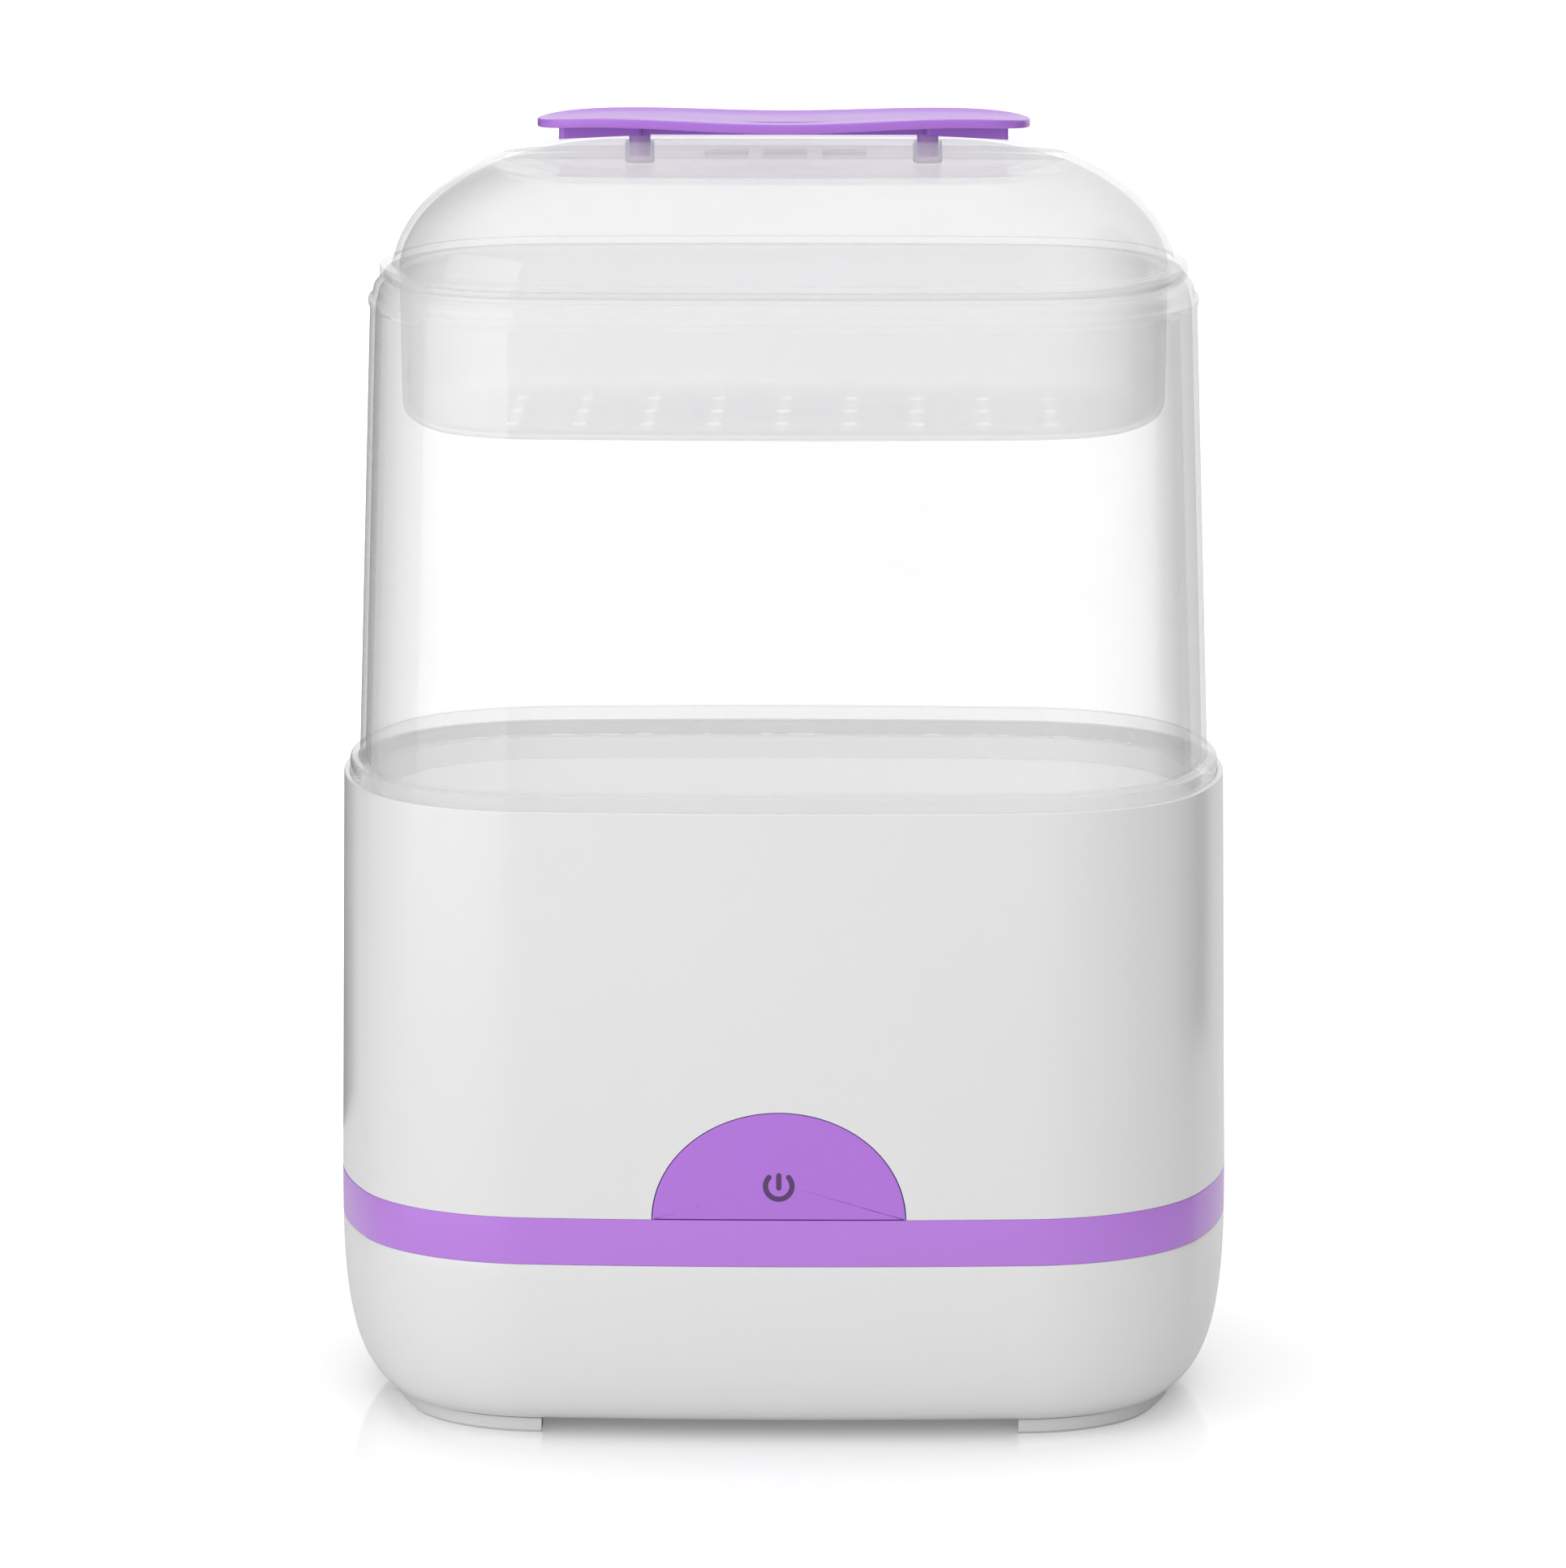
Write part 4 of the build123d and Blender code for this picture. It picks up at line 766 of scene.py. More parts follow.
def make_power_button(materials):
    """The cap with a rounded edge, its skirt and flange behind the shell, and its stem."""
    rim, hollow = -BUTTON_GAP, -BUTTON_GAP - BUTTON_SKIRT
    loops = [button_loop(rim, BUTTON_SINK, BUTTON_BORDER, scale) for scale in BUTTON_RINGS]
    loops += [button_loop(rim, depth, closing) for depth, closing in BUTTON_ROUNDING]
    loops.append(button_loop(rim, BUTTON_FLANGE[0]))
    loops += [button_loop(BUTTON_FLANGE_GROWTH, depth) for depth in BUTTON_FLANGE]
    loops += [button_loop(hollow, BUTTON_FLANGE[1]), button_loop(hollow, BUTTON_CAP)]
    plunger_low, plunger_high = extent("switch_plunger")
    round_stem = circle_outline(STEM_RADIUS, 0, (plunger_low[2] + plunger_high[2]) / 2)
    stem = prism(round_stem, STEM_START - HALF_DEPTH, plunger_low[1] - STEM_GAP, from_front)
    body = merged(skinned(loops), stem)
    button = new_piece("button_cap", *body, "button", ["power_button"], "purple_button", 40.0)
    button.data.materials.append(materials["purple_button"])


def make_upper_shell(materials):
    ledge_inset, ledge = SHELL_LEDGE
    corners = [
        (0.0, BAND_TOP, EDGE),
        (SHELL_DRAFT, SHELL_TOP, SHELL_RIM_EDGE),
        (ledge_inset, SHELL_TOP, SHELL_RIM_EDGE),
        (ledge_inset, ledge, 0),
        (SHELL_DRAFT + WALL, ledge, 0.2),
        (*SHELL_INNER[0], 0),
        (TONGUE[1], SHELL_INNER[1], 0),
        (TONGUE[1], SHELL_TONGUE_FOOT, 0.2),
        (TONGUE[0], SHELL_TONGUE_FOOT, 0.2),
        (TONGUE[0], BAND_TOP, 0),
    ]
    shell = new_piece("casing_shell", *swept(soften(corners)), "base", ["upper_shell"], "white_casing")
    opening = moon_outline(0.0, BAND_TOP - BUTTON_CUT_DROP)
    cut(shell, *prism(opening, -HALF_DEPTH - BUTTON_CUT[0], -HALF_DEPTH + BUTTON_CUT[1], from_front))
    shell.data.materials.append(materials["white_casing"])


def make_trim_band(materials):
    corners = [
        (0.0, BAND_BOTTOM, EDGE),
        (0.0, BAND_TOP, EDGE),
        (BAND_THICKNESS, BAND_TOP, BAND_BACK_EDGE),
        (BAND_THICKNESS, BAND_BOTTOM, BAND_BACK_EDGE),
    ]
    band = new_piece("band_ring", *swept(soften(corners)), "base", ["trim_band"], "purple_trim")
    band.data.materials.append(materials["purple_trim"])


# ---- Clear sleeve and tray ------------------------------------------------------------------------


def make_sleeve(materials):
    outside, inside, bottom = SLEEVE_SKIRT
    foot_bottom, foot_top = SLEEVE_FOOT
    bead, bead_bottom, bead_top = SLEEVE_BEAD
    corners = [
        (outside, bottom, 0.4),
        (outside, foot_bottom, 0),
        (SLEEVE_FOOT_INSET, foot_bottom, 0.3),
        (SLEEVE_FOOT_INSET, foot_top, 0.9),
        (SLEEVE_WALL_FOOT, foot_top, 0.9),
        (*SLEEVE_WALL_HEAD, 0.5),
        (bead, bead_bottom, 0.5),
        (bead, bead_top, 0.6),
        (*SLEEVE_SHOULDER[0], 0.6),
        (*SLEEVE_SHOULDER[1], 2.0),
        (*SLEEVE_SHOULDER[2], 1.2),
        (SLEEVE_OPENING, SLEEVE_TOP, 0.5),
        (SLEEVE_OPENING, SLEEVE_TOP - CLEAR_WALL, 0.5),
        (*SLEEVE_INSIDE[0], 1.0),
        (*SLEEVE_INSIDE[1], 1.5),
        (*SLEEVE_INSIDE[2], 1.0),
        (*SLEEVE_INSIDE[3], 1.0),
        (inside, SLEEVE_SKIRT_TOP, 0.8),
        (inside, bottom, 0.5),
    ]
    walls = swept(soften(corners))
    sleeve = new_piece("sleeve_wall", *walls, "sleeve", ["chamber_sleeve"], "clear_sleeve_plastic")
    sleeve.data.materials.append(materials["clear_sleeve_plastic"])


def make_tray(materials):
    floor, rim = TRAY_LOW[2], TRAY_HIGH[2]
    wall = TRAY_WALL_INSET
    under_rim = rim - TRAY_RIM_THICKNESS
    corners = [
        (CORE_INSET, floor, 0),
        (wall + TRAY_DRAFT, floor, TRAY_BENDS[0]),
        (wall, under_rim, 0.3),
        (TRAY_RIM_INSET, under_rim, 0.4),
        (TRAY_RIM_INSET, rim, 0.5),
        (wall + CLEAR_WALL, rim, 1.0),
        (wall + TRAY_DRAFT + CLEAR_WALL, floor + CLEAR_WALL, TRAY_BENDS[1]),
        (CORE_INSET, floor + CLEAR_WALL, 0),
    ]
    section = soften(corners, closed=False, steps=6)
    tray = new_piece("tray_body", *swept(section, closed=False), "tray", ["parts_tray"], "milky_tray_plastic")
    cutters = []
    for row in TRAY_SLOT_ROWS:
        for step in TRAY_SLOT_STEPS:
            slot = slot_outline(*TRAY_SLOT, step * TRAY_SLOT_PITCH, row)
            cutters.append(prism(slot, floor - PAST, floor + CLEAR_WALL + PAST, upright))
    cut(tray, *merged(*cutters))
    tray.data.materials.append(materials["milky_tray_plastic"])


# ---- Lid ------------------------------------------------------------------------------------------

LONG_STEPS = 96
RIDGE_STEPS = (11.6, 10.95, 10.55, 10.25, 10.0, 9.75, 9.45, 9.05, 8.4, 6.0, 3.0)


def end_rows(half):
    """The y values of a loop's points across the ridge, bunched at its two walls."""
    shift = half - RIDGE_HALF
    side = [v + shift for v in RIDGE_STEPS]
    return [-v for v in side] + [0.0] + side[::-1]


def quarter_length(inset):
    return [radius * (end - start) for _, radius, start, end in quarter_arcs(inset)]


def quarter_at(inset, distance):
    """The point of the quarter at a distance along it from the side's middle."""
    for (centre, radius, start, end), length in zip(quarter_arcs(inset), quarter_length(inset)):
        if distance <= length or start == FRONT_TURN:
            turn = min(start + distance / radius, math.pi / 2)
            return centre[0] + radius * math.cos(turn), centre[1] + radius * math.sin(turn)
        distance -= length


def lid_loop(inset, scale, half):
    """A loop of the lid: its ends cross the ridge at fixed y values, and its long runs are even."""
    side_radius = SIDE_RADIUS - inset
    rows = end_rows(half)
    ends = []
    for y in rows:
        turn = math.asin(y / scale / side_radius)
        ends.append((scale * (HALF_WIDTH - SIDE_RADIUS + side_radius * math.cos(turn)), y))
    start = side_radius * math.asin(rows[-1] / scale / side_radius)
    total = sum(quarter_length(inset))
    back = []
    for k in range(1, LONG_STEPS):
        share = 1 - abs(1 - 2 * k / LONG_STEPS)
        x, y = quarter_at(inset, start + (total - start) * share)
        side = 1 if k <= LONG_STEPS / 2 else -1
        back.append((side * x * scale, y * scale))
    left = [(-x, y) for x, y in reversed(ends)]
    front = [(x, -y) for x, y in reversed(back)]
    return ends + back + left + front


def soft_lower(a, b, width):
    """The lower of two heights, rounded where they cross."""
    share = min(max(0.5 + 0.5 * (b - a) / width, 0.0), 1.0)
    return b * (1 - share) + a * share - width * share * (1 - share)


def scooped(y, height, thickness):
    """The dome's height at y after the finger scoops are taken off, with rounded edges."""
    half = RIDGE_HALF - thickness
    near = DOME_TOP - SCOOP_DROP[0] - thickness
    slope = (SCOOP_DROP[1] - SCOOP_DROP[0]) / (SCOOP_FRONT - half)
    floor = near - slope * (abs(y) - half)
    lowered = soft_lower(height, floor, SCOOP_EDGE)
    share = min(max((abs(y) - half + RIDGE_BLEND) / (2 * RIDGE_BLEND), 0.0), 1.0)
    share = share * share * (3 - 2 * share)
    return height + (lowered - height) * share


def dome_turns():
    """Turns of the dome's rows in degrees, close together where the scoops' rims run."""
    rows = [5.4 + 2.9 * k for k in range(13)]
    rows += [43.0 + 0.62 * k for k in range(41)]
    rows += [69.5 + 3.4 * k for k in range(6)]
    return rows + [90.0]


def dome_loops(thickness, first_height):
    """Loops of one skin of the dome, from first_height up to the plateau's rim."""
    inset = DOME_INSET + thickness
    half_width = HALF_WIDTH - inset
    rise = DOME_TOP - DOME_CENTRE - thickness
    start = math.degrees(math.asin((first_height - DOME_CENTRE) / rise))
    turns = [start] + [turn for turn in dome_turns() if turn > start + 1]
    loops = []
    for turn in turns:
        angle = math.radians(turn)
        scale = 1 - DOME_REACH * (1 - math.cos(angle)) / half_width
        height = DOME_CENTRE + rise * math.sin(angle)
        plan = lid_loop(inset, scale, RIDGE_HALF - thickness)
        loops.append([(x, y, scooped(y, height, thickness)) for x, y in plan])
    return loops


def plateau(loop, thickness, start):
    """Fills the last loop with a grid whose rows follow the ridge. Returns vertices and faces."""
    rows = end_rows(RIDGE_HALF - thickness)
    across = len(rows)
    height = DOME_TOP - thickness
    back = loop[across:across + LONG_STEPS - 1]
    verts, index = [], {}
    size = len(loop)
    for j in range(LONG_STEPS + 1):
        for i in range(across):
            if j == 0:
                index[j, i] = start - size + i
            elif j == LONG_STEPS:
                index[j, i] = start - size + across + LONG_STEPS - 1 + (across - 1 - i)
            elif i == across - 1:
                index[j, i] = start - size + across + j - 1
            elif i == 0:
                index[j, i] = start - 1 - (j - 1)
            else:
                index[j, i] = start + len(verts)
                verts.append((back[j - 1][0], rows[i], scooped(rows[i], height, thickness)))
    faces = []
    for j in range(LONG_STEPS):
        for i in range(across - 1):
            faces.append((index[j, i], index[j + 1, i], index[j + 1, i + 1], index[j, i + 1]))
    return verts, faces


def lid_shell():
    """The lid as one closed skin: inside of the dome, flange, outside of the dome."""
    outside, inside = LID_FLANGE
    lip = [
        (LID_LIP, LID_UNDERSIDE, 0),
        (inside, LID_UNDERSIDE, 0.3),
        (inside, LID_LOW[2], 0.3),
        (outside, LID_LOW[2], 0.4),
        (outside, LID_FLANGE_TOP, 0.7),
        (LID_FILLET[0][0], LID_FLANGE_TOP + LID_FILLET[0][1], 0.9),
        (LID_FILLET[1][0], LID_FLANGE_TOP + LID_FILLET[1][1], 0),
    ]
    inner = dome_loops(LID_WALL, LID_UNDERSIDE + 0.4)[::-1]
    section = soften(lip, closed=False)[:-1]
    flange = [[(x, y, z) for x, y in lid_loop(inset, 1.0, RIDGE_HALF)] for inset, z in section]
    outer = dome_loops(0.0, LID_FLANGE_TOP + 1.0)
    loops = inner + flange + outer
    verts = [v for loop in loops for v in loop]
    faces = bridge(loops)
    grid, grid_faces = plateau(outer[-1], 0.0, len(verts))
    verts += grid
    faces += grid_faces
    # The inner plateau starts from a copy of the first loop, which new_piece merges with it
    verts += inner[0]
    grid, grid_faces = plateau(inner[0], LID_WALL, len(verts))
    return verts + grid, faces + grid_faces


def boss_cup(x):
    """The cup under the dome that a handle post ends in."""
    hole, outside = BOSS_CUP
    top = DOME_TOP - LID_WALL
    section = [
        (0.01, BOSS_CUP_BOTTOM, 0),
        (outside, BOSS_CUP_BOTTOM, 0.5),
        (outside, top, 0),
        (hole, top, 0),
        (hole, BOSS_CUP_FLOOR, 0.2),
        (0.01, BOSS_CUP_FLOOR, 0),
    ]
    return lathed(soften(section, closed=False), x, 0.0, closed=False)


def make_lid(materials):
    lid = new_piece("lid_shell", *lid_shell(), "lid", ["lid"], "clear_lid_plastic", LID_SMOOTH)
    length, width, y = VENT
    cutters = []
    for x in VENT_PLACES:
        vent = slot_outline(length, width, x, y, along_y=False)
        cutters.append(prism(vent, DOME_TOP - VENT_CUT[0], DOME_TOP + VENT_CUT[1], upright))
    for x in (-POST_X, POST_X):
        hole = circle_outline(BOSS_CUP[0], x, 0.0)
        cutters.append(prism(hole, DOME_TOP - POST_CUT, DOME_TOP + POST_CUT, upright))
    cut(lid, *merged(*cutters), smooth_angle=LID_SMOOTH)
    lid.data.materials.append(materials["clear_lid_plastic"])
    cups = merged(*[boss_cup(x) for x in (-POST_X, POST_X)])
    bosses = new_piece("lid_bosses", *cups, "lid", ["lid"], "clear_lid_plastic", LID_SMOOTH)
    bosses.data.materials.append(materials["lid_boss_plastic"])


# ---- Handle ---------------------------------------------------------------------------------------


def bulge_radius(half_chord, bulge):
    """Radius of the arc that bulges out by so much over a chord."""
    return (half_chord**2 + bulge**2) / (2 * bulge)


def handle_outline():
    """Plan of the handle's plate: long arcs front and back, blunt arcs at the ends, rounded between."""
    shoulder_x, shoulder_y = HANDLE_SHOULDER
    half_width, half_depth = HANDLE_HIGH[:2]
    long_radius = bulge_radius(shoulder_x, half_depth - shoulder_y)
    end_radius = bulge_radius(shoulder_y, half_width - shoulder_x)
    long_turn = math.asin(shoulder_x / long_radius) * HANDLE_TURNS[2]
    end_turn = math.asin(shoulder_y / end_radius)
    end_steps, bend_steps, long_steps = HANDLE_STEPS

    def on_end(turn):
        return half_width - end_radius * (1 - math.cos(turn)), end_radius * math.sin(turn)

    def on_long(turn):
        return long_radius * math.sin(turn), half_depth - long_radius * (1 - math.cos(turn))

    quarter = [on_end(end_turn * HANDLE_TURNS[0] * k / end_steps) for k in range(end_steps)]
    start, end = on_end(end_turn * HANDLE_TURNS[1]), on_long(long_turn)
    for k in range(bend_steps + 1):
        t = k / bend_steps
        shares = (1 - t) ** 2, 2 * t * (1 - t), t * t
        points = zip(start, HANDLE_SHOULDER, end)
        quarter.append(tuple(sum(share * value for share, value in zip(shares, values)) for values in points))
    quarter += [on_long(long_turn * (1 - k / long_steps)) for k in range(1, long_steps + 1)]
    return mirrored_loop(quarter)


def wave(x, middle, high, tip):
    """Height of the handle's plate along x: low in the middle, high near the ends, down at the tips."""
    reach = abs(x)
    if reach <= HANDLE_CREST:
        return middle + (high - middle) * (1 - math.cos(math.pi * reach / HANDLE_CREST)) / 2
    return high + (tip - high) * ((reach - HANDLE_CREST) / (HANDLE_HIGH[0] - HANDLE_CREST)) ** 2


# Rings of the plate as (inset, lift): up round the rim, then in over the dished top
PLATE_BELOW = [(22.0, 0.0), (12.0, 0.0), (4.0, 0.0), (0.8, 0.0), (0.35, 0.06), (0.1, 0.2), (0.0, 0.42)]
PLATE_RIM = [(0.0, -0.42), (0.06, -0.2), (0.2, -0.06), (0.42, 0.0), (1.1, 0.02)]
PLATE_DISH = [(2.0, -0.1), (3.0, -0.35), (5.0, -0.7), (8.0, -0.95), (12.0, -1.1), (17.0, -HANDLE_DISH),
              (22.0, -HANDLE_DISH)]


def handle_plate():
    """The dished plate as loops from its underside's middle, out round the rim, to its top's middle."""
    plan = handle_outline()
    half_width, half_depth = HANDLE_HIGH[:2]

    def ring(inset, lift, heights):
        keep_x, keep_y = 1 - inset / half_width, 1 - inset / half_depth
        return [(x * keep_x, y * keep_y, wave(x * keep_x, *heights) + lift) for x, y in plan]

    loops = [ring(inset, lift, HANDLE_BELOW) for inset, lift in PLATE_BELOW]
    loops += [ring(inset, lift, HANDLE_ABOVE) for inset, lift in PLATE_RIM + PLATE_DISH]
    size = len(plan)
    last = (len(loops) - 1) * size
    faces = bridge(loops)
    verts = [v for loop in loops for v in loop]
    for first, height in ((0, HANDLE_BELOW[0]), (last, HANDLE_ABOVE[0] - HANDLE_DISH)):
        verts.append((0.0, 0.0, height))
        faces += [(first + k, first + (k + 1) % size, len(verts) - 1) for k in range(size)]
    return verts, faces


def ridge_height(x):
    """Height of the lid's ridge under the handle."""
    half_width = HALF_WIDTH - DOME_INSET
    level = half_width - DOME_REACH
    if abs(x) <= level:
        return DOME_TOP
    turn = math.acos((abs(x) - level) / DOME_REACH)
    return DOME_CENTRE + (DOME_TOP - DOME_CENTRE) * math.sin(turn)


def stem_block(low_x, high_x, half_depth, radius):
    """One block of the handle's stem, whose underside follows the lid's ridge."""
    middle, half_length = (low_x + high_x) / 2, (high_x - low_x) / 2
    outline = box_outline((half_length, half_depth), middle)
    plan = soften([(x, y, radius) for x, y in outline], steps=6)
    loops = [
        [(x, y, ridge_height(x) + STEM_SEAT) for x, y in plan],
        [(x, y, wave(x, *HANDLE_BELOW) + STEM_LAP) for x, y in plan],
    ]
    return skinned(loops)


def make_handle(materials):
    near, far, depth, rounding = STEM_WIDE
    blocks = [stem_block(-far, -near, depth, rounding), stem_block(near, far, depth, rounding)]
    blocks.append(stem_block(-STEM_NARROW[0], *STEM_NARROW))
    low, high = POST_HEIGHTS
    corners = [(0.01, low, 0), (POST_RADIUS, low, 0.6), (POST_RADIUS, high, 0), (0.01, high, 0)]
    section = soften(corners, closed=False)
    blocks += [lathed(section, x, 0.0, closed=False) for x in (-POST_X, POST_X)]
    body = merged(handle_plate(), *blocks)
    handle = new_piece("handle_wing", *body, "lid", ["lid_handle"], "purple_handle", 42.0)
    handle.data.materials.append(materials["purple_handle"])


# ---- CAD nodes that keep their shape --------------------------------------------------------------


def dress_cad_nodes(materials):
    """Gives each CAD node its material and smooth shading."""
    slots = {part["node"]: part["material_slot"] for part in frame["record"]["subparts"]}
    for name, node in NODES.items():
        node.data.materials.clear()
        node.data.materials.append(materials[slots[name]])
        smooth(node.data, 32.0)


# ---- Studio ---------------------------------------------------------------------------------------

CAMERA_DISTANCE = 2.257
CAMERA_HEIGHT = 0.526
CAMERA_AIM = (-0.0002, 0.0, 0.1647)
CAMERA_SIDE = 0.035
LENS = 192.9


def make_camera():
    data = bpy.data.cameras.new("camera")
    data.lens = LENS
    data.sensor_width = 36.0
    data.clip_end = 50.0
    camera = bpy.data.objects.new("camera", data)
    bpy.context.scene.collection.objects.link(camera)
    camera.location = (CAMERA_SIDE, -CAMERA_DISTANCE, CAMERA_HEIGHT)
    aim = Vector(CAMERA_AIM) - camera.location
    camera.rotation_mode = "QUATERNION"
    camera.rotation_quaternion = aim.to_track_quat("-Z", "Y")
    bpy.context.scene.camera = camera


def area_light(name, place, aim, size, power, mirrored=True):
    """A soft light; one that isn't mirrored lights the object but shows no reflection on it."""
    data = bpy.data.lights.new(name, "AREA")
    data.shape = "RECTANGLE"
    data.size, data.size_y = size
    data.energy = power
    light = bpy.data.objects.new(name, data)
    bpy.context.scene.collection.objects.link(light)
    light.location = place
    light.rotation_mode = "QUATERNION"
    light.rotation_quaternion = (Vector(aim) - Vector(place)).to_track_quat("-Z", "Y")
    light.visible_camera = False
    light.visible_glossy = mirrored
    return light


def brightness_ramp(tree, value, stops):
    """A grey ramp over -1..1 from (position, brightness) stops."""
    scaled = tree.nodes.new("ShaderNodeMapRange")
    scaled.inputs["From Min"].default_value = -1.0
    tree.links.new(value, scaled.inputs["Value"])
    ramp = tree.nodes.new("ShaderNodeValToRGB")
    ramp.color_ramp.interpolation = "EASE"
    marks = ramp.color_ramp.elements
    while len(marks) < len(stops):
        marks.new(0.5)
    for mark, (place, grey) in zip(marks, stops):
        mark.position = (place + 1) / 2
        mark.color = (grey, grey, grey, 1)
    tree.links.new(scaled.outputs["Result"], ramp.inputs["Fac"])
    return ramp.outputs["Color"]


def mixed(tree, factor, first, second):
    mix = tree.nodes.new("ShaderNodeMix")
    mix.data_type = "RGBA"
    tree.links.new(factor, mix.inputs[0])
    tree.links.new(first, mix.inputs[6])
    tree.links.new(second, mix.inputs[7])
    return mix.outputs[2]


# Brightness of the room round the object, from the left (-1) to the right (1) and up
ROOM_FRONT = [(-1.0, 0.45), (-0.4, 0.55), (0.0, 0.62), (0.55, 0.64), (0.8, 0.42), (1.0, 0.15)]
ROOM_BACK = [(-1.0, 0.45), (-0.75, 0.10), (-0.2, 0.10), (-0.12, 0.95), (0.55, 1.0), (0.7, 0.12), (1.0, 0.10)]
ROOM_FACING = [(-0.15, 0.0), (0.15, 1.0)]
ROOM_TOP = [(0.55, 0.0), (0.85, 1.0)]
ROOM_TOP_GREY = [(-1.0, 0.8), (1.0, 0.8)]


def make_world():
    """White to the camera; to all else a room that is bright in front and behind and dark at the sides."""
    world = bpy.data.worlds.new("studio")
    bpy.context.scene.world = world
    world.use_nodes = True
    tree = world.node_tree
    tree.nodes.clear()
    output = tree.nodes.new("ShaderNodeOutputWorld")
    axes = tree.nodes.new("ShaderNodeSeparateXYZ")
    tree.links.new(tree.nodes.new("ShaderNodeTexCoord").outputs["Generated"], axes.inputs[0])
    x, y, z = axes.outputs
    facing = brightness_ramp(tree, y, ROOM_FACING)
    front, back = brightness_ramp(tree, x, ROOM_FRONT), brightness_ramp(tree, x, ROOM_BACK)
    ceiling = brightness_ramp(tree, z, ROOM_TOP_GREY)
    room = mixed(tree, brightness_ramp(tree, z, ROOM_TOP), mixed(tree, facing, front, back), ceiling)
    seen = tree.nodes.new("ShaderNodeBackground")
    seen.inputs["Color"].default_value = (1, 1, 1, 1)
    soft = tree.nodes.new("ShaderNodeBackground")
    tree.links.new(room, soft.inputs["Color"])
    path = tree.nodes.new("ShaderNodeLightPath")
    mix = tree.nodes.new("ShaderNodeMixShader")
    tree.links.new(path.outputs["Is Camera Ray"], mix.inputs[0])
    tree.links.new(soft.outputs[0], mix.inputs[1])
    tree.links.new(seen.outputs[0], mix.inputs[2])
    tree.links.new(mix.outputs[0], output.inputs["Surface"])


FLOOR_HALF = 6.0
FLOOR_GLOW = (0.20, 0.58)  # extra light the floor shows to the camera, close by and far away
FLOOR_FADE = (0.10, 0.36)  # distances from the object between which it rises


def make_floor():
    """A wide pale floor with a faint sheen."""
    mesh = bpy.data.meshes.new("studio_floor")
    mesh.from_pydata([(x, y, 0) for x, y in box_outline((FLOOR_HALF, FLOOR_HALF))], [], [(0, 1, 2, 3)])
    floor = bpy.data.objects.new("studio_floor", mesh)
    bpy.context.scene.collection.objects.link(floor)
    s = Shader("floor_paper")
    s.link(s.blend_colours(s.noise(3.0), (0.84, 0.84, 0.84), (0.86, 0.86, 0.86)), s.bsdf.inputs["Base Color"])
    s.bsdf.inputs["Roughness"].default_value = 0.07
    s.bsdf.inputs["IOR"].default_value = 1.2
    away = s.node("ShaderNodeVectorMath", operation="LENGTH")
    s.link(s.position(), away.inputs[0])
    painted_glow = s.spread(away.outputs["Value"], *FLOOR_GLOW, *FLOOR_FADE)
    path = s.node("ShaderNodeLightPath")
    s.link(s.maths("MULTIPLY", painted_glow, path.outputs["Is Camera Ray"]), s.bsdf.inputs["Emission Strength"])
    s.bsdf.inputs["Emission Color"].default_value = (1, 1, 1, 1)
    mesh.materials.append(s.material)


# Ends of the dark cards' feet; each stands upright, like the flags beside a product on a studio table
DARK_CARDS = {"card_left": ((-0.13, 0.33), (-0.31, 0.32)), "card_right": ((0.40, 0.42), (0.60, 0.14))}
CARD_HEIGHT = 0.5


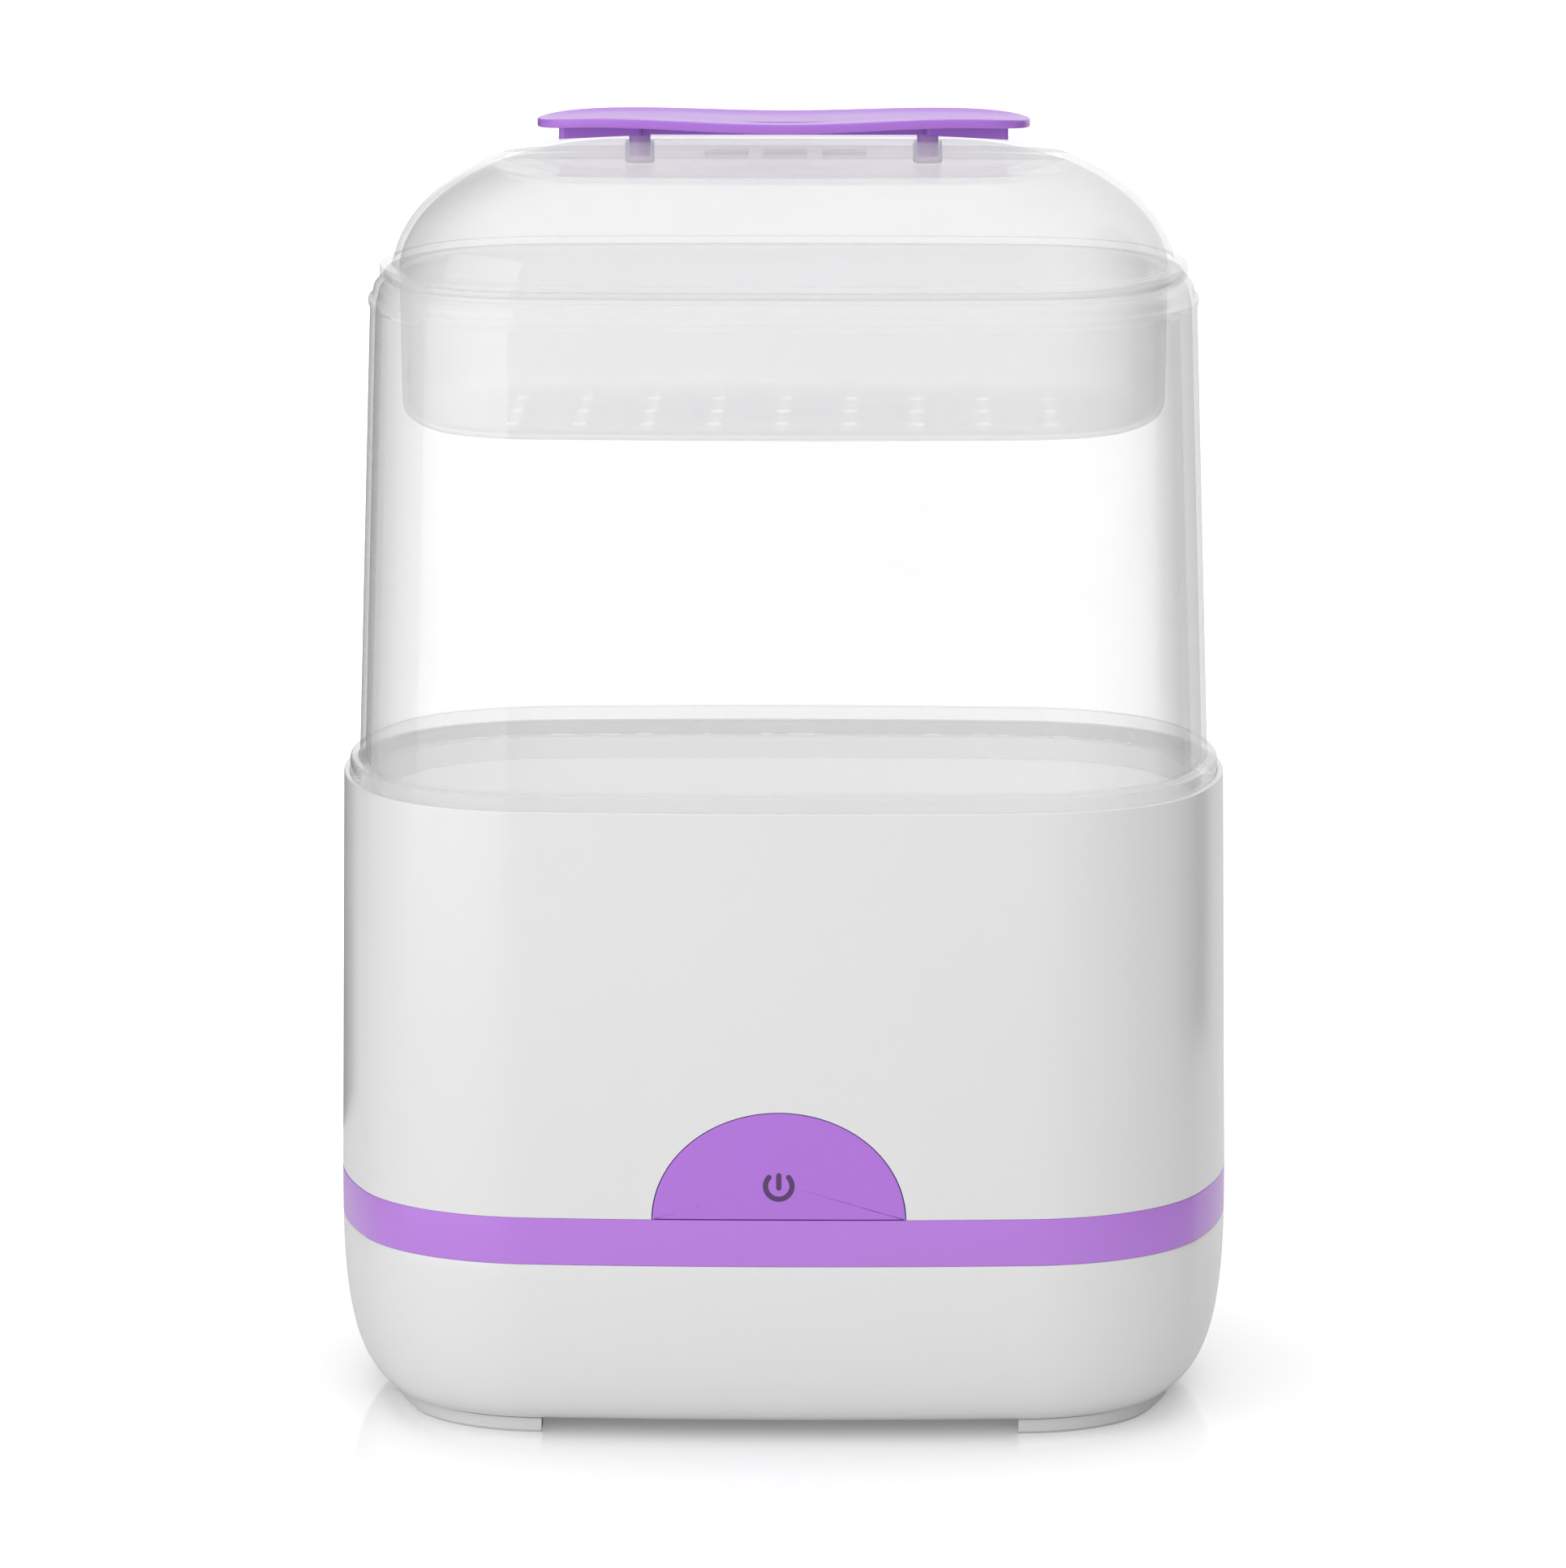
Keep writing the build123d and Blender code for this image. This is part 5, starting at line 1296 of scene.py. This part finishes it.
def make_cards():
    """Dark cards that only reflections off the object see; they draw the edges of its white and clear parts.

    A reflection off the floor meets a card on its way up, and there the card lets it through.
    """
    s = Shader("card_black")
    s.link(s.blend_colours(s.noise(5.0), (0.01, 0.01, 0.01), (0.02, 0.02, 0.02)), s.bsdf.inputs["Base Color"])
    s.bsdf.inputs["Roughness"].default_value = 0.9
    axes = s.node("ShaderNodeSeparateXYZ")
    s.link(s.node("ShaderNodeNewGeometry").outputs["Incoming"], axes.inputs[0])
    downwards = s.maths("GREATER_THAN", axes.outputs["Z"], 0.0)
    mix = s.node("ShaderNodeMixShader")
    s.link(downwards, mix.inputs[0])
    s.link(s.node("ShaderNodeBsdfTransparent").outputs[0], mix.inputs[1])
    s.link(s.bsdf.outputs[0], mix.inputs[2])
    s.link(mix.outputs[0], s.output.inputs["Surface"])
    for name, ((x0, y0), (x1, y1)) in DARK_CARDS.items():
        mesh = bpy.data.meshes.new(name)
        verts = [(x0, y0, 0.001), (x1, y1, 0.001), (x1, y1, CARD_HEIGHT), (x0, y0, CARD_HEIGHT)]
        mesh.from_pydata(verts, [], [(0, 1, 2, 3)])
        mesh.materials.append(s.material)
        card = bpy.data.objects.new(name, mesh)
        bpy.context.scene.collection.objects.link(card)
        card.visible_camera = card.visible_diffuse = card.visible_shadow = card.visible_transmission = False


def make_studio():
    make_world()
    make_floor()
    make_cards()
    area_light("left", (-1.5, -0.9, 0.55), (0, 0, 0.2), (2.4, 1.5), 12.0)
    area_light("front", (0.35, -2.6, 1.1), (0, 0, 0.15), (1.6, 1.0), 13.0, mirrored=False)
    area_light("top", (0.0, 0.0, 1.9), (0, 0, 0.2), (1.6, 1.4), 9.0, mirrored=False)


def set_up_view():
    scene = bpy.context.scene
    scene.view_settings.view_transform = "Standard"
    scene.view_settings.look = "None"
    scene.cycles.transparent_max_bounces = 32
    scene.cycles.max_bounces = 12
    scene.cycles.use_denoising = True


# ---- Build ----------------------------------------------------------------------------------------


def main():
    materials = material_library()
    dress_cad_nodes(materials)
    make_bottom_pan(materials)
    make_trim_band(materials)
    make_upper_shell(materials)
    make_power_button(materials)
    make_sleeve(materials)
    make_tray(materials)
    make_lid(materials)
    make_handle(materials)
    make_studio()
    make_camera()
    set_up_view()


main()
